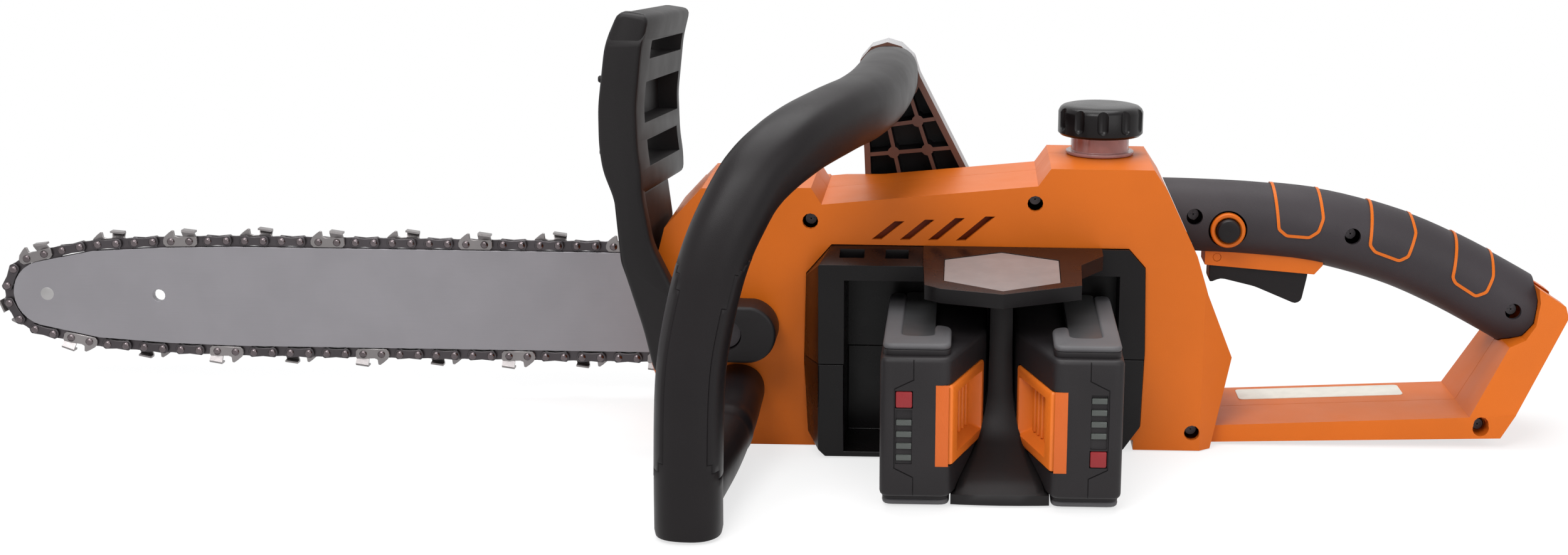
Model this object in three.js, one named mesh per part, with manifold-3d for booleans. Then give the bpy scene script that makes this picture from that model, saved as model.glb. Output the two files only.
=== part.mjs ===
// Battery chainsaw, built as separate pieces in millimetres.
// +Z is up, the guide bar points along -X, and the far side of the saw (bar side) is +Y.
// The origin lies on the drive axis seen from the side, on the parting plane, at ground level.
import * as THREE from "three";
import { mergeVertices } from "three/addons/utils/BufferGeometryUtils.js";
import Module from "manifold-3d";

const wasm = await Module();
wasm.setup();

// ---------------------------------------------------------------- driving sizes
const GAP = 0.3; // clearance between touching pieces
const HALF_GAP = GAP / 2; // share of the parting gap on each half
const WALL = 3; // moulded wall

const LEFT_Y = -45; // outer face of the left housing
const RIGHT_Y = 33; // outer face of the right housing
const FRAME_HALF = 33; // half width of the rear lower bar
const LEG_HALF = 21; // half width of the rear leg at its top

const CHAIN_PITCH = 19.05; // two rivet spacings
const DRIVE_LINKS = 50;
const BAR_Y = 38; // middle plane of the guide bar
const BAR_THICK = 4;
const BAR_HALF = 26.5; // half height of the bar body
const BAR_Z = 50; // height of the bar axis and the drive axis
const BAR_TAIL = -21; // rear end of the bar
const GROOVE = 1.8; // width of the bar groove
const GROOVE_DEPTH = 6;
const RIVET_OUT = 3.2; // rivet line outside the bar edge
const SPROCKET_R = 18.4; // rivet line radius on the drive sprocket
const NOSE_R = 17.5; // bar nose radius

const MOTOR_X = 45; // motor axis behind the drive axis
const GEAR_TEETH = 40;
const PINION_TEETH = 10;
const GEAR_Y = [17, 23.5];
const SHAFT_R = 5;
const SPINDLE_R = 6;

const DOCK = { x0: -14, x1: 150, z0: 0, z1: 100, face: -64, back: -27, seam: 46 };
const RECESS = { x0: 6, x1: 137, z0: 3, z1: 87 };
const POST_X = 80; // middle of the dock post, and the centre the packs turn about
const POST_HALF = 5;
const PACK = { side: 54.2, inner: 6, front: -139, back: -27.6, height: 75.5, slant: -84, nose: 23 };
const PACK_FLANGE = 5.5; // depth of the surround above and below the case

const CAP_X = 128.4; // oil filler axis
const CAP_R = 21;
const CAP_Z = [148, 163.3];
const NECK_ENGAGE = 8; // how far the neck reaches into the cap
const NECK_R = 14.3;
const TANK_TOP = 138.5;

const GRIP_HALF = 18.5; // half height and half width of the rear grip
const HANDLE_R = 15.5;
const PIVOT = { x: -50, z: 60, r: 14 }; // hand guard pivot

// ---------------------------------------------------------------- materials
const finish = (color, roughness, metalness) =>
  new THREE.MeshStandardMaterial({ color, roughness, metalness });
const LOOK = {
  orange: finish(0xe07a2e, 0.45, 0),
  black: finish(0x2b292c, 0.55, 0),
  dark: finish(0x3a383b, 0.7, 0),
  latch: finish(0xf0702c, 0.4, 0),
  red: finish(0xaa3030, 0.4, 0),
  neck: finish(0xd9b0a8, 0.2, 0),
  tank: finish(0xe6e2da, 0.4, 0),
  steel: finish(0x95918f, 0.35, 1),
  chain: finish(0x6a6462, 0.4, 1),
  copper: finish(0xa05a32, 0.4, 1),
  board: finish(0x2c5a3a, 0.6, 0),
  label: finish(0xb9b2ae, 0.5, 0),
};

// ---------------------------------------------------------------- solids
const solid = (geometry) => {
  const bare = geometry.clone();
  bare.deleteAttribute("normal");
  bare.deleteAttribute("uv");
  const merged = mergeVertices(bare, 1e-4);
  return new wasm.Manifold(
    new wasm.Mesh({
      numProp: 3,
      vertProperties: new Float32Array(merged.attributes.position.array),
      triVerts: new Uint32Array(merged.index.array),
    }),
  );
};
const shapeOf = (points) => new THREE.Shape(points.map(([a, b]) => new THREE.Vector2(a, b)));
const extrude = (shape, depth, segments = 6) =>
  new THREE.ExtrudeGeometry(shape, { depth, bevelEnabled: false, curveSegments: segments });

// A side outline of (x, z) points, thick from y0 to y1.
const prism = (points, y0, y1) => {
  const geometry = extrude(shapeOf(points), y1 - y0);
  geometry.rotateX(Math.PI / 2);
  geometry.translate(0, y1, 0);
  return solid(geometry);
};
// A plan outline of (x, y) points, thick from z0 to z1.
const slab = (points, z0, z1) => {
  const geometry = extrude(shapeOf(points), z1 - z0);
  geometry.translate(0, 0, z0);
  return solid(geometry);
};
const box = (x0, x1, y0, y1, z0, z1) => {
  const geometry = new THREE.BoxGeometry(x1 - x0, y1 - y0, z1 - z0);
  geometry.translate((x0 + x1) / 2, (y0 + y1) / 2, (z0 + z1) / 2);
  return solid(geometry);
};
// A round bar along Y, and one along Z.
const rod = (x, z, y0, y1, r, sides = 16) => {
  const geometry = new THREE.CylinderGeometry(r, r, y1 - y0, sides);
  geometry.translate(x, (y0 + y1) / 2, z);
  return solid(geometry);
};
const pillar = (x, y, z0, z1, r, sides = 16) => {
  const geometry = new THREE.CylinderGeometry(r, r, z1 - z0, sides);
  geometry.rotateX(Math.PI / 2);
  geometry.translate(x, y, (z0 + z1) / 2);
  return solid(geometry);
};
const tube = (x, z, y0, y1, outer, inner, sides = 16, bore = sides) =>
  rod(x, z, y0, y1, outer, sides).subtract(rod(x, z, y0 - 1, y1 + 1, inner, bore));
const union = (list) => list.reduce((a, b) => a.add(b));

// An outline pulled in by a distance, corner by corner.
const inset = (points, distance) =>
  points.map((point, i) => {
    const before = points[(i + points.length - 1) % points.length];
    const after = points[(i + 1) % points.length];
    const a = new THREE.Vector2(point[0] - before[0], point[1] - before[1]).normalize();
    const b = new THREE.Vector2(after[0] - point[0], after[1] - point[1]).normalize();
    const miter = new THREE.Vector2(-a.y - b.y, a.x + b.x);
    const scale = (2 * distance) / miter.lengthSq();
    return [point[0] + miter.x * scale, point[1] + miter.y * scale];
  });
// Each corner of an outline replaced by a short arc.
const rounded = (points, radius, steps = 3) =>
  points.flatMap((point, i) => {
    const here = new THREE.Vector2(...point);
    const before = new THREE.Vector2(...points[(i + points.length - 1) % points.length]);
    const after = new THREE.Vector2(...points[(i + 1) % points.length]);
    const back = Math.min(radius, here.distanceTo(before) / 2.2, here.distanceTo(after) / 2.2);
    const start = before.sub(here).setLength(back).add(here);
    const end = after.sub(here).setLength(back).add(here);
    const curve = new THREE.QuadraticBezierCurve(start, here, end);
    return curve.getPoints(steps).map((p) => [p.x, p.y]);
  });
// A section swept along a smooth curve through points in space.
const sweep = (points, section, steps) => {
  const path = new THREE.CatmullRomCurve3(points.map((p) => new THREE.Vector3(...p)));
  return solid(new THREE.ExtrudeGeometry(section, { steps, extrudePath: path }));
};
const round = (r, sides) =>
  shapeOf(
    Array.from({ length: sides }, (_, i) => {
      const a = (2 * Math.PI * i) / sides;
      return [r * Math.cos(a), r * Math.sin(a)];
    }),
  );

const saw = new THREE.Group();
const piece = (name, made, look) => {
  const mesh = made.getMesh();
  const geometry = new THREE.BufferGeometry();
  geometry.setAttribute("position", new THREE.BufferAttribute(mesh.vertProperties, 3));
  geometry.setIndex(new THREE.BufferAttribute(mesh.triVerts, 1));
  geometry.computeVertexNormals();
  const node = new THREE.Mesh(geometry, look.clone());
  node.name = name;
  saw.add(node);
};

// ---------------------------------------------------------------- outlines shared by several pieces
// Motor body seen from the left, counter-clockwise from the front foot.
const BODY = [
  [-62, 0], [184, 0], [194, 44], [180, 78], [174, 97], [159, 128], [152, TANK_TOP],
  [103, TANK_TOP], [97, 130], [-6, 119.5], [-11, 127.5], [-63, 126.5], [-81, 107],
  [-88, 80], [-88, 40], [-78, 8],
];
// Lower bar and rear leg, one moulding with the body.
const REAR = [
  [170, 0.6], [328, 5], [335, 17], [360, 64], [358.5, 69.5], [345, 78], [346, 71], [344, 60],
  [339, 53], [331, 49.5], [312, 15.5], [187, 9.6], [170, 9],
];
const LEG = [[300, 3.6], [328, 5], [360, 64], [358.5, 69.5], [345, 78], [346, 71], [344, 60],
  [339, 53], [331, 49.5], [312, 15.5]];
const GRIP_PATH = [[150, 108.5], [176, 108.2], [206, 107], [239, 103.6], [274, 94.5], [302, 83],
  [330, 68.5], [352, 56]];
const DOCK_OUTLINE = [
  [DOCK.x0 + 11, DOCK.z0 + 0.3], [DOCK.x1 - 9, DOCK.z0 + 0.3], [DOCK.x1 - 1, 12], [DOCK.x1, 50],
    [DOCK.x1 - 1, 91],
  [DOCK.x1 - 9, DOCK.z1], [DOCK.x0 + 13, DOCK.z1], [DOCK.x0 + 1, 86], [DOCK.x0, 42], [DOCK.x0 + 2, 9],
];

// ---------------------------------------------------------------- housing
const gripCore = (r, steps = 11) => sweep(GRIP_PATH.map(([x, z]) => [x, 0, z]), round(r, 16), steps);

const housingBlock = () => {
  const roof = 9;
  const body = prism(BODY, LEFT_Y, RIGHT_Y);
  const leftBevel = slab([[206, LEFT_Y - 1], [206, LEFT_Y + 27], [150, LEFT_Y - 18]], -1, 150);
  const rearCut = leftBevel.translate(6, 0, 0);
  const rightDrop = prism([[-120, 200], [-120, 118], [200, 124], [200, 200]], RIGHT_Y - roof,
    RIGHT_Y + 1);
  const legTaper = slab([[-FRAME_HALF, -1], [FRAME_HALF, -1], [FRAME_HALF, 16], [LEG_HALF, 74],
    [LEG_HALF, 100], [-LEG_HALF, 100], [-LEG_HALF, 74], [-FRAME_HALF, 16]], 150, 380).rotate(90, 0, 90);
  const rear = prism(REAR, -FRAME_HALF, FRAME_HALF).intersect(legTaper);
  const lowBar = prism([[170, 0.6], [328, 5], [335, 17], [312, 15.5], [187, 9.6], [170, 9]],
    -FRAME_HALF, FRAME_HALF);
  return body.subtract(rearCut).subtract(rightDrop).add(rear).add(lowBar);
};

const housingHollow = () => {
  const inner = inset(BODY, WALL);
  const motorRoom = prism(inner, LEFT_Y + WALL, RIGHT_Y - WALL)
    .subtract(slab([[247.2, LEFT_Y - 1], [247.2, LEFT_Y + 59.1], [151.2, LEFT_Y - 18]], -1, 150))
    .subtract(prism([[-120, 200], [-120, 115], [200, 121], [200, 200]], RIGHT_Y - 13, RIGHT_Y + 1));
  const lowRoom = box(196, 304, -FRAME_HALF + WALL, FRAME_HALF - WALL, 4.4, 8);
  return motorRoom.add(lowRoom);
};

const VENT_WIDTH = 4.6;
const vents = () =>
  union(
    [0, 1, 2, 3].map((i) => {
      const foot = 18 + i * 13.4;
      const reach = 11 + i;
      const outline = [[foot, 103], [foot + VENT_WIDTH, 103], [foot + VENT_WIDTH + reach, 112 + i],
        [foot + reach, 112 + i]];
      return prism(outline, LEFT_Y - 1, LEFT_Y + WALL + 1);
    }),
  );
const SCREWS = [[-11.3, 111.4, LEFT_Y], [95.8, 121.5, LEFT_Y], [174.5, 9, LEFT_Y],
  [318, 12, -FRAME_HALF]];
const SCREW_HOLE_R = 3.8;
const bearingBosses = () =>
  tube(0, BAR_Z, ...BEARING_Y, 17, 14 + RUN, 20, SHAFT_SIDES)
    .add(tube(MOTOR_X, BAR_Z, ...BEARING_Y, 15, 12 + RUN, 20, SHAFT_SIDES))
    .translate(0, GAP, 0);
const screwHoles = () => union(SCREWS.map(([x, z, y]) => rod(x, z, y - 2, y + 6, SCREW_HOLE_R, 12)));

const buildHousing = () => {
  const shell = housingBlock().subtract(housingHollow()).add(bearingBosses());
  const gripSeat = gripCore(GRIP_HALF + GAP).subtract(box(100, 166, -50, 50, 0, 200));
  const dockRoom = prism(inset(DOCK_OUTLINE, -GAP), LEFT_Y - 1, LEFT_Y + WALL + 1)
    .add(box(DOCK.x0 + 6, DOCK.x1 - 4, LEFT_Y - 1, DOCK.back + WALL + GAP, -1, 5));
  const neckHole = pillar(CAP_X, 0, 120, 150, NECK_R + GAP, 20);
  const spindleHole = rod(0, BAR_Z, RIGHT_Y - WALL - 1, RIGHT_Y + 1, 9, 20);
  const studHoles = union(STUDS.map((x) => rod(x, BAR_Z, RIGHT_Y - WALL - 1, RIGHT_Y + 1,
    STUD_R + GAP, 12)));
  const tensionHole = tensionSlot(RIGHT_Y - WALL - 1, RIGHT_Y + 1);
  const triggerHole = box(178, 236, -9, 9, 84, 94);
  const whole = shell
    .subtract(gripSeat)
    .subtract(dockRoom)
    .subtract(vents())
    .subtract(neckHole)
    .subtract(spindleHole)
    .subtract(studHoles)
    .subtract(tensionHole)
    .subtract(triggerHole)
    .subtract(screwHoles());
  const half = (y0, y1) => whole.intersect(box(-200, 400, y0, y1, -10, 250));
  const largest = (made) => made.decompose().sort((a, b) => b.volume() - a.volume())[0];
  piece("housing_left", largest(half(LEFT_Y - 1, -HALF_GAP)), LOOK.orange);
  piece("housing_right", largest(half(HALF_GAP, RIGHT_Y + 1)), LOOK.orange);
};

// ---------------------------------------------------------------- rear grip, trigger and lock-off
const LOCK = { x: 191.2, z: 104.6, r: 7.5, collar: 10, out: GRIP_HALF + 5.5 };
const TRIGGER_PIVOT = [187.5, 89];
const PIN_R = 2;
const SWITCH_Z = 106;
const SWITCH_CLEARANCE = 1.2; // from the corners of the switch to the bore of the grip, at its middle

const buildGrip = () => {
  const seat = prism(inset(BODY, -GAP), -60, 60);
  const leg = prism(inset(LEG, -GAP), -60, 60);
  const skin = gripCore(GRIP_HALF).subtract(gripCore(GRIP_HALF - WALL));
  const lockHole = rod(LOCK.x, LOCK.z, -30, -10, LOCK.collar + GAP, 20);
  const slot = box(170, 241, -9.3, 9.3, 80, 97);
  const holes = union([[174.7, 110.9], [252.4, 102.4],
    [333.6, 65.9]].map(([x, z]) => rod(x, z, -30, -13, 3.4, 12)));
  const whole = skin.subtract(seat).subtract(leg).subtract(slot).subtract(lockHole).subtract(holes);
  const parts = (y0, y1) =>
    whole.intersect(box(100, 400, y0, y1, 0, 200)).decompose().sort((a, b) => b.volume() - a.volume())[0];
  piece("grip_left", parts(-40, -HALF_GAP), LOOK.dark);
  piece("grip_right", parts(HALF_GAP, 40), LOOK.dark);

  const bezelOuter = [[181.5, 85.2], [236, 81], [240, 85.6], [240, 95], [181.5, 95]];
  const bezel = prism(bezelOuter, -9, 9)
    .subtract(box(183.5, 234.5, -7.6, 7.6, 70, 100))
    .subtract(rod(...TRIGGER_PIVOT, -20, 20, PIN_R + 0.1, 12));
  piece("trigger_bezel", bezel, LOOK.orange);

  const lever = rounded(
    [[184.2, 75.5], [190, 78], [207, 74], [227.5, 65.5], [230.5, 67], [233, 80], [233.5, 91],
      [196, 91], [194, 93.5], [184.2, 93.5]], 2, 2);
  piece("trigger", prism(lever, -7, 7).subtract(rod(...TRIGGER_PIVOT, -8, 8, PIN_R + 0.1, 12)),
    LOOK.black);
  piece("trigger_pin", rod(...TRIGGER_PIVOT, -8.8, 8.8, PIN_R, 12), LOOK.steel);

  const collar = tube(LOCK.x, LOCK.z, -GRIP_HALF - 1.5, -GRIP_HALF + 3.5, LOCK.collar, LOCK.r + GAP, 20);
  piece("lock_collar", collar, LOOK.orange);
  piece("lock_button", rod(LOCK.x, LOCK.z, -LOCK.out, -10, LOCK.r, 20), LOOK.black);
  const half = (GRIP_HALF - WALL - SWITCH_CLEARANCE) * Math.SQRT1_2;
  const plunger = box(203, 207, -2, 2, SWITCH_Z - half - 1.5, SWITCH_Z - half + 1);
  const switchBody = box(201, 229, -half, half, SWITCH_Z - half, SWITCH_Z + half);
  piece("trigger_switch", switchBody.add(plunger), LOOK.black);
};

// ---------------------------------------------------------------- battery dock
const DOCK_SIDE = -47; // right frame, almost flush with the housing
const ROOF = { z0: 87.5, z1: 94.5, hinge: -105, tilt: 6 }; // rises towards the housing
const raised = (solid) => solid.translate(0, -ROOF.hinge, -ROOF.z1).rotate(ROOF.tilt, 0, 0)
  .translate(0, ROOF.hinge, ROOF.z1);
const FOOT_TIP = -133;

const buildDock = () => {
  const back = prism(DOCK_OUTLINE, DOCK.back, DOCK.back + WALL);
  const flange = (x0, x1, y) => {
    const cover = box(x0, x1, y, DOCK.back + 1, -1, 120);
    return prism(DOCK_OUTLINE, y, DOCK.back + 1).intersect(cover);
  };
  const recess = box(RECESS.x0, RECESS.x1, -90, DOCK.back, RECESS.z0, RECESS.z1)
    .add(box(POST_X - PACK.side - 1, RECESS.x1, -90, DOCK.back, -2, RECESS.z0 + 1));
  const frame = flange(-30, 60, DOCK.face).add(flange(40, 160, DOCK_SIDE)).subtract(recess);
  const slope = prism([[-40, -10], [-40, 200], [-6, 200], [-6, -10]], -90, LEFT_Y - 2)
    .subtract(slab([[-14, LEFT_Y - 2], [-6.2, DOCK.face], [10, -90], [10, 0], [-14, 0]], -20, 210));
  const topSlope = box(-30, 60, -40, 0, 0, 30).rotate(17, 0, 0).translate(0, LEFT_Y - 0.5, DOCK.z1);
  const roof = slab(
    [[43, -62], [43.5, -76], [44.5, -103], [52, -108], [POST_X, -114.6], [99, -107.2], [116, -100.7],
      [117, -72], [128, -58], [128, DOCK_SIDE + 1], [43, DOCK_SIDE + 1]],
    ROOF.z0, ROOF.z1);
  const post = box(POST_X - POST_HALF, POST_X + POST_HALF, -88, DOCK.back, 0.3, ROOF.z0 + 5);
  const foot = slab(
    [[75, -84], [67.5, -108], [61.5, -124], [70, -131], [POST_X, FOOT_TIP], [90, -131], [98.5, -124],
      [92.5, -108], [85, -84]], 0.3, PACK_FLANGE - GAP);
  const plateSeat = slab(PLATE, ROOF.z1 - 1.3, ROOF.z1 + 1);
  const pockets = box(3.3, 15, -57, -49, ROOF.z1 - 4, 120).add(box(25, 36, -57, -49, ROOF.z1 - 4, 120));
  const whole = back.add(frame).subtract(slope).subtract(topSlope)
    .add(raised(roof.subtract(plateSeat))).add(post).add(foot)
    .subtract(pockets);
  const part = (z0, z1) => whole.intersect(box(-60, 200, -200, 0, z0, z1));
  piece("dock_upper", part(DOCK.seam + HALF_GAP, 130), LOOK.black);
  piece("dock_lower", part(-5, DOCK.seam - HALF_GAP), LOOK.black);
  piece("label_plate", raised(slab(inset(PLATE, GAP), ROOF.z1 - 1, ROOF.z1 - 0.2)), LOOK.label);
};
const PLATE = [[53, -66], [53, -96.5], [POST_X, -110], [106.7, -97], [107, -65], [POST_X, -54]];

// ---------------------------------------------------------------- battery packs
// Both packs are the same moulding; the second is turned half round about the post's Y axis.
const LATCH = { z0: 20.5, z1: 57.5, width: 46, depth: 7 };
const BUTTON = { x: -43.3, z0: 47.2, z1: 54.6, half: 3.6 };

const packPlan = (margin) => {
  const outer = -PACK.side + margin;
  const inner = -PACK.inner - margin;
  const front = PACK.front + margin;
  return [
    [outer, PACK.back - margin], [outer, front + 3], [outer + 3, front],
    [-PACK.nose - margin * 0.6, front], [inner, PACK.slant + margin * 1.6], [inner, PACK.back - margin],
  ];
};

const packPieces = () => {
  const body = slab(packPlan(0), PACK_FLANGE, PACK.height - PACK_FLANGE);
  const collarPlan = rounded([[-53.2, -36], [-53.2, -134], [-23.5, -134], [-22.5, -100],
    [-22.5, -36]], 9, 3);
  const collar = slab(collarPlan, 0.3, PACK.height - 0.3);
  const labelSeat = [[-45, -30], [-45, -118], [-31, -118], [-31, -30]];
  const seats = slab(labelSeat, PACK.height - 1.4, PACK.height + 1).add(slab(labelSeat, -1, 1.4));
  const slant = new THREE.Vector2(PACK.nose - PACK.inner, PACK.slant - PACK.front).normalize();
  const normal = new THREE.Vector2(slant.y, -slant.x);
  const at = (along, out) => [
    -PACK.nose + slant.x * along + normal.x * out,
    PACK.front + slant.y * along + normal.y * out,
  ];
  const latchPlan = (grow, top, floor) => [
    at(4 - grow, top), at(4 + LATCH.width + grow, top), at(4 + LATCH.width + grow, -floor),
      at(4 - grow, -floor),
  ];
  const pocket = slab(latchPlan(0.4, 3, LATCH.depth + 4), LATCH.z0 - 0.4, LATCH.z1 + 0.4);
  const rib = (i) => [at(16 + 6 * i, -0.5), at(19 + 6 * i, -0.5), at(19 + 6 * i, -3), at(16 + 6 * i, -3)];
  const ribs = union([0, 1, 2, 3].map((i) => slab(rib(i), 28, 50)));
  const latch = slab(latchPlan(0, 0, LATCH.depth), LATCH.z0, LATCH.z1)
    .subtract(slab([at(11, 1), at(43, 1), at(43, -2.2), at(11, -2.2)], 26, 52))
    .add(ribs);
  const buttonX = BUTTON.x;
  const buttonSeat = box(buttonX - 3.9, buttonX + 3.9, PACK.front - 1, PACK.front + 5,
    BUTTON.z0 - 0.3, BUTTON.z1 + 0.3);
  const button = box(buttonX - 3.6, buttonX + 3.6, PACK.front - 0.4, PACK.front + 3, BUTTON.z0,
    BUTTON.z1);
  const bars = union(
    [0, 1, 2, 3].map((i) => box(buttonX - 3.6, buttonX + 3.6, PACK.front - 1, PACK.front + 0.6,
      40 - 5.4 * i, 42.4 - 5.4 * i)),
  );
  const rails = box(-47, -13, PACK.back - 5, PACK.back + 1, 25, 50);
  const shell = body.add(collar).subtract(seats).subtract(pocket).subtract(buttonSeat).subtract(bars)
    .subtract(rails);
  return { case: shell, latch, button };
};

const buildPacks = () => {
  const made = packPieces();
  const place = {
    left: (s) => s.translate(POST_X, 0, 0),
    right: (s) => s.translate(0, 0, -PACK.height / 2).rotate(0, 180, 0)
      .translate(POST_X, 0, PACK.height / 2),
  };
  for (const side of ["left", "right"]) {
    piece(`pack_${side}_case`, place[side](made.case), LOOK.dark);
    piece(`pack_${side}_latch`, place[side](made.latch), LOOK.latch);
    piece(`pack_${side}_button`, place[side](made.button), LOOK.red);
    const contacts = box(-45, -15, PACK.back - 4.6, DOCK.back - GAP, 28, 47.5);
    piece(`contacts_${side}`, place[side](contacts), LOOK.black);
  }
};

// ---------------------------------------------------------------- oil tank and cap
const buildOil = () => {
  const seat = 5;
  const base = box(CAP_X - 19, CAP_X + 19, -17, 17, 106, TANK_TOP - seat);
  const room = box(CAP_X - 16.5, CAP_X + 16.5, -14.5, 14.5, 108.5, TANK_TOP - seat - 2);
  const bore = pillar(CAP_X, 0, 110, TANK_TOP, NECK_R - 2.5, 20);
  piece("oil_tank", base.subtract(room).subtract(bore), LOOK.tank);
  const neck = pillar(CAP_X, 0, TANK_TOP - seat + GAP, CAP_Z[0] + NECK_ENGAGE, NECK_R, 24);
  const flange = pillar(CAP_X, 0, TANK_TOP + GAP, TANK_TOP + 2, NECK_R + 2.5, 24);
  const neckBore = pillar(CAP_X, 0, 100, 170, NECK_R - 2.5, 24);
  piece("filler_neck", neck.add(flange).subtract(neckBore), LOOK.neck);
  const grip = pillar(CAP_X, 0, CAP_Z[0], CAP_Z[1], CAP_R, 40);
  const grooves = union(
    Array.from({ length: 10 }, (_, i) => {
      const a = (2 * Math.PI * i) / 10;
      return pillar(CAP_X + (CAP_R + 1.6) * Math.cos(a), (CAP_R + 1.6) * Math.sin(a), CAP_Z[0] - 1,
        CAP_Z[1] - 3, 3, 8);
    }),
  );
  const room2 = pillar(CAP_X, 0, CAP_Z[0] - 1, CAP_Z[0] + NECK_ENGAGE + 1, NECK_R + 0.5, 24);
  piece("oil_cap", grip.subtract(grooves).subtract(room2), LOOK.black);
  const sealBottom = CAP_Z[0] + NECK_ENGAGE + GAP;
  piece("cap_seal", pillar(CAP_X, 0, sealBottom, sealBottom + 0.4, NECK_R, 24).subtract(neckBore),
    LOOK.black);
};

// ---------------------------------------------------------------- front handle
const HANDLE_END = [23, 171]; // where the handle meets its bracket
const HANDLE_PATH = [
  [-54.2, -174, -2], [-54, -174, 30], [-52.8, -173.5, 68], [-49.5, -172, 92], [-43.2, -170, 118],
    [-35.5, -165, 137],
  [-26, -156, 153], [-11.5, -138, 164.6], [3.6, -108, 170],
  [13.5, -80, 171.5], [19, -50, 172.5], [21.8, -20, 173], [22.8, 8, 172.5],
    [HANDLE_END[0], 33.5, HANDLE_END[1]],
];
const ROOT_PATH = [[-46, LEFT_Y - 3.6, 28.5], [-46.5, -85, 24], [-49, -125, 19.5], [-53, -168, 17]];
const ROOT_R = 13;
const BRACKET_Y = [RIGHT_Y + GAP, RIGHT_Y + 19];
const BRACKET = [[66, 100], [66, 118], [38.5, 171], [35.5, 180], [29, 186], [22, 188], [14, 185.5],
  [8.5, 179], [6.5, 171], [10.5, 134], [12, 100]];
const BRACKET_RIBS = [
  [[0, 141.1], [80, 153.5], [80, 155.5], [0, 143.1]], [[0, 128.1], [80, 136.1], [80, 138.1], [0, 130.1]],
  [[53.2, 100], [55.2, 100], [24.9, 190], [22.9, 190]],
    [[32.4, 100], [34.4, 100], [13.4, 190], [11.4, 190]],
];
const BRACKET_BOSSES = [[37.6, 148], [25.5, 131.7], [42.7, 133.4]];

const buildHandle = () => {
  const bar = sweep(HANDLE_PATH, round(HANDLE_R, 12), 46).add(sweep(ROOT_PATH, round(ROOT_R, 12), 10));
  const trim = box(-200, 200, LEFT_Y - GAP, 60, -50, 120).add(box(-200, 200, RIGHT_Y, 80, 0, 300));
  piece("front_handle", bar.subtract(trim).subtract(box(-300, 300, -300, 300, -50, 0)), LOOK.black);
  const inner = inset(BRACKET, WALL);
  const pocket = prism(inner, BRACKET_Y[0] - 1, BRACKET_Y[1] - WALL);
  const [near, far] = [BRACKET_Y[0] + 0.5, BRACKET_Y[1] - 1];
  const ribs = union([
    ...BRACKET_RIBS.map((outline) => prism(outline, near, far)),
    ...BRACKET_BOSSES.map(([x, z]) => rod(x, z, near, far, 3, 12)),
    box(0, 80, BRACKET_Y[0], far, 96, 112),
    rod(...HANDLE_END, BRACKET_Y[0], far, HANDLE_R + 0.5, 24),
  ]).intersect(prism(inset(BRACKET, 1), BRACKET_Y[0], BRACKET_Y[1]));
  const cheek = prism(BRACKET, BRACKET_Y[0], BRACKET_Y[1]);
  piece("handle_bracket", cheek.subtract(pocket).add(ribs)
    .subtract(box(0, 80, 0, RIGHT_Y + GAP, 0, 130)), LOOK.black);
};

// ---------------------------------------------------------------- hand guard
const GUARD = { near: -68, far: 46, neck: 4, flange: 12 };
const GUARD_LEAN = 0.045; // how far the guard runs back for each millimetre towards its far end
const GUARD_FALL = -0.07; // how far it falls over the same length
const GUARD_FRONT = [
  [-88.5, 62], [-98.5, 95], [-101, 124], [-106.5, 138], [-108, 150], [-108, 168], [-104.4, 196],
    [-98, 212.5],
];
const GUARD_REAR = [
  [-83.5, 210.5], [-87, 196], [-90, 168], [-89.5, 148], [-88, 136], [-88, 126], [-84, 103],
];
const ARM = [[-50, 46], [-66, 42], [-84, 38], ...GUARD_FRONT, ...GUARD_REAR, [-72, 78], [-66, 75],
  [-50, 74]];
const PANEL = [...GUARD_FRONT, ...GUARD_REAR, [-80, 90], [-80, 64]];
const GUARD_BOLT = { head: 7, well: 7.5, hole: 3.6, shank: 3.3 };

// Leans a guard piece along Y, holding its near face still.
const leaned = (s) =>
  s.transform([1, 0, 0, 0, GUARD_LEAN, 1, GUARD_FALL, 0, 0, 0, 1, 0,
    -GUARD_LEAN * GUARD.near, 0, -GUARD_FALL * GUARD.near, 1]);

const guardOpenings = () => {
  const top = box(-130, -70, -44, GUARD.far - 8, 189.5, 198);
  const middle = box(-98, -70, -48, GUARD.far - 8, 158, 180);
  const low = box(-130, -70, -44, GUARD.far - 12, 138.5, 151);
  const neckSlot = box(-130, -70, -46, -38, 66, 106);
  return union([top, middle, low, neckSlot]);
};

const buildGuard = () => {
  const lug = rod(PIVOT.x, PIVOT.z, GUARD.near + 4, LEFT_Y - 1, PIVOT.r, 20);
  const arm = prism(ARM, GUARD.near, GUARD.near + GUARD.flange).add(lug);
  const neckCut = box(-130, -60, GUARD.neck, 80, 30, 122);
  const panel = leaned(prism(PANEL, GUARD.near, GUARD.far).subtract(neckCut).subtract(guardOpenings()));
  const screwHole = rod(PIVOT.x, PIVOT.z, -120, 0, GUARD_BOLT.hole, 14)
    .add(rod(PIVOT.x, PIVOT.z, -80, GUARD.near + 9 + GAP, GUARD_BOLT.well, 16));
  const underBody = box(-200, 200, LEFT_Y - 0.5, 80, 0, 62);
  const bodyRoom = prism(inset(BODY, -0.8), LEFT_Y - 0.6, 60);
  piece("hand_guard", arm.add(panel).subtract(screwHole).subtract(underBody).subtract(bodyRoom),
    LOOK.black);
  const bolt = rod(PIVOT.x, PIVOT.z, GUARD.near + 5 + GAP, GUARD.near + 9, GUARD_BOLT.head, 16)
    .subtract(rod(PIVOT.x, PIVOT.z, GUARD.near + 4, GUARD.near + 7, 2.6, 6));
  const shank = rod(PIVOT.x, PIVOT.z, GUARD.near + 8, LEFT_Y - GAP, GUARD_BOLT.shank, 14);
  piece("guard_screw", bolt.add(shank), LOOK.steel);
};

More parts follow.
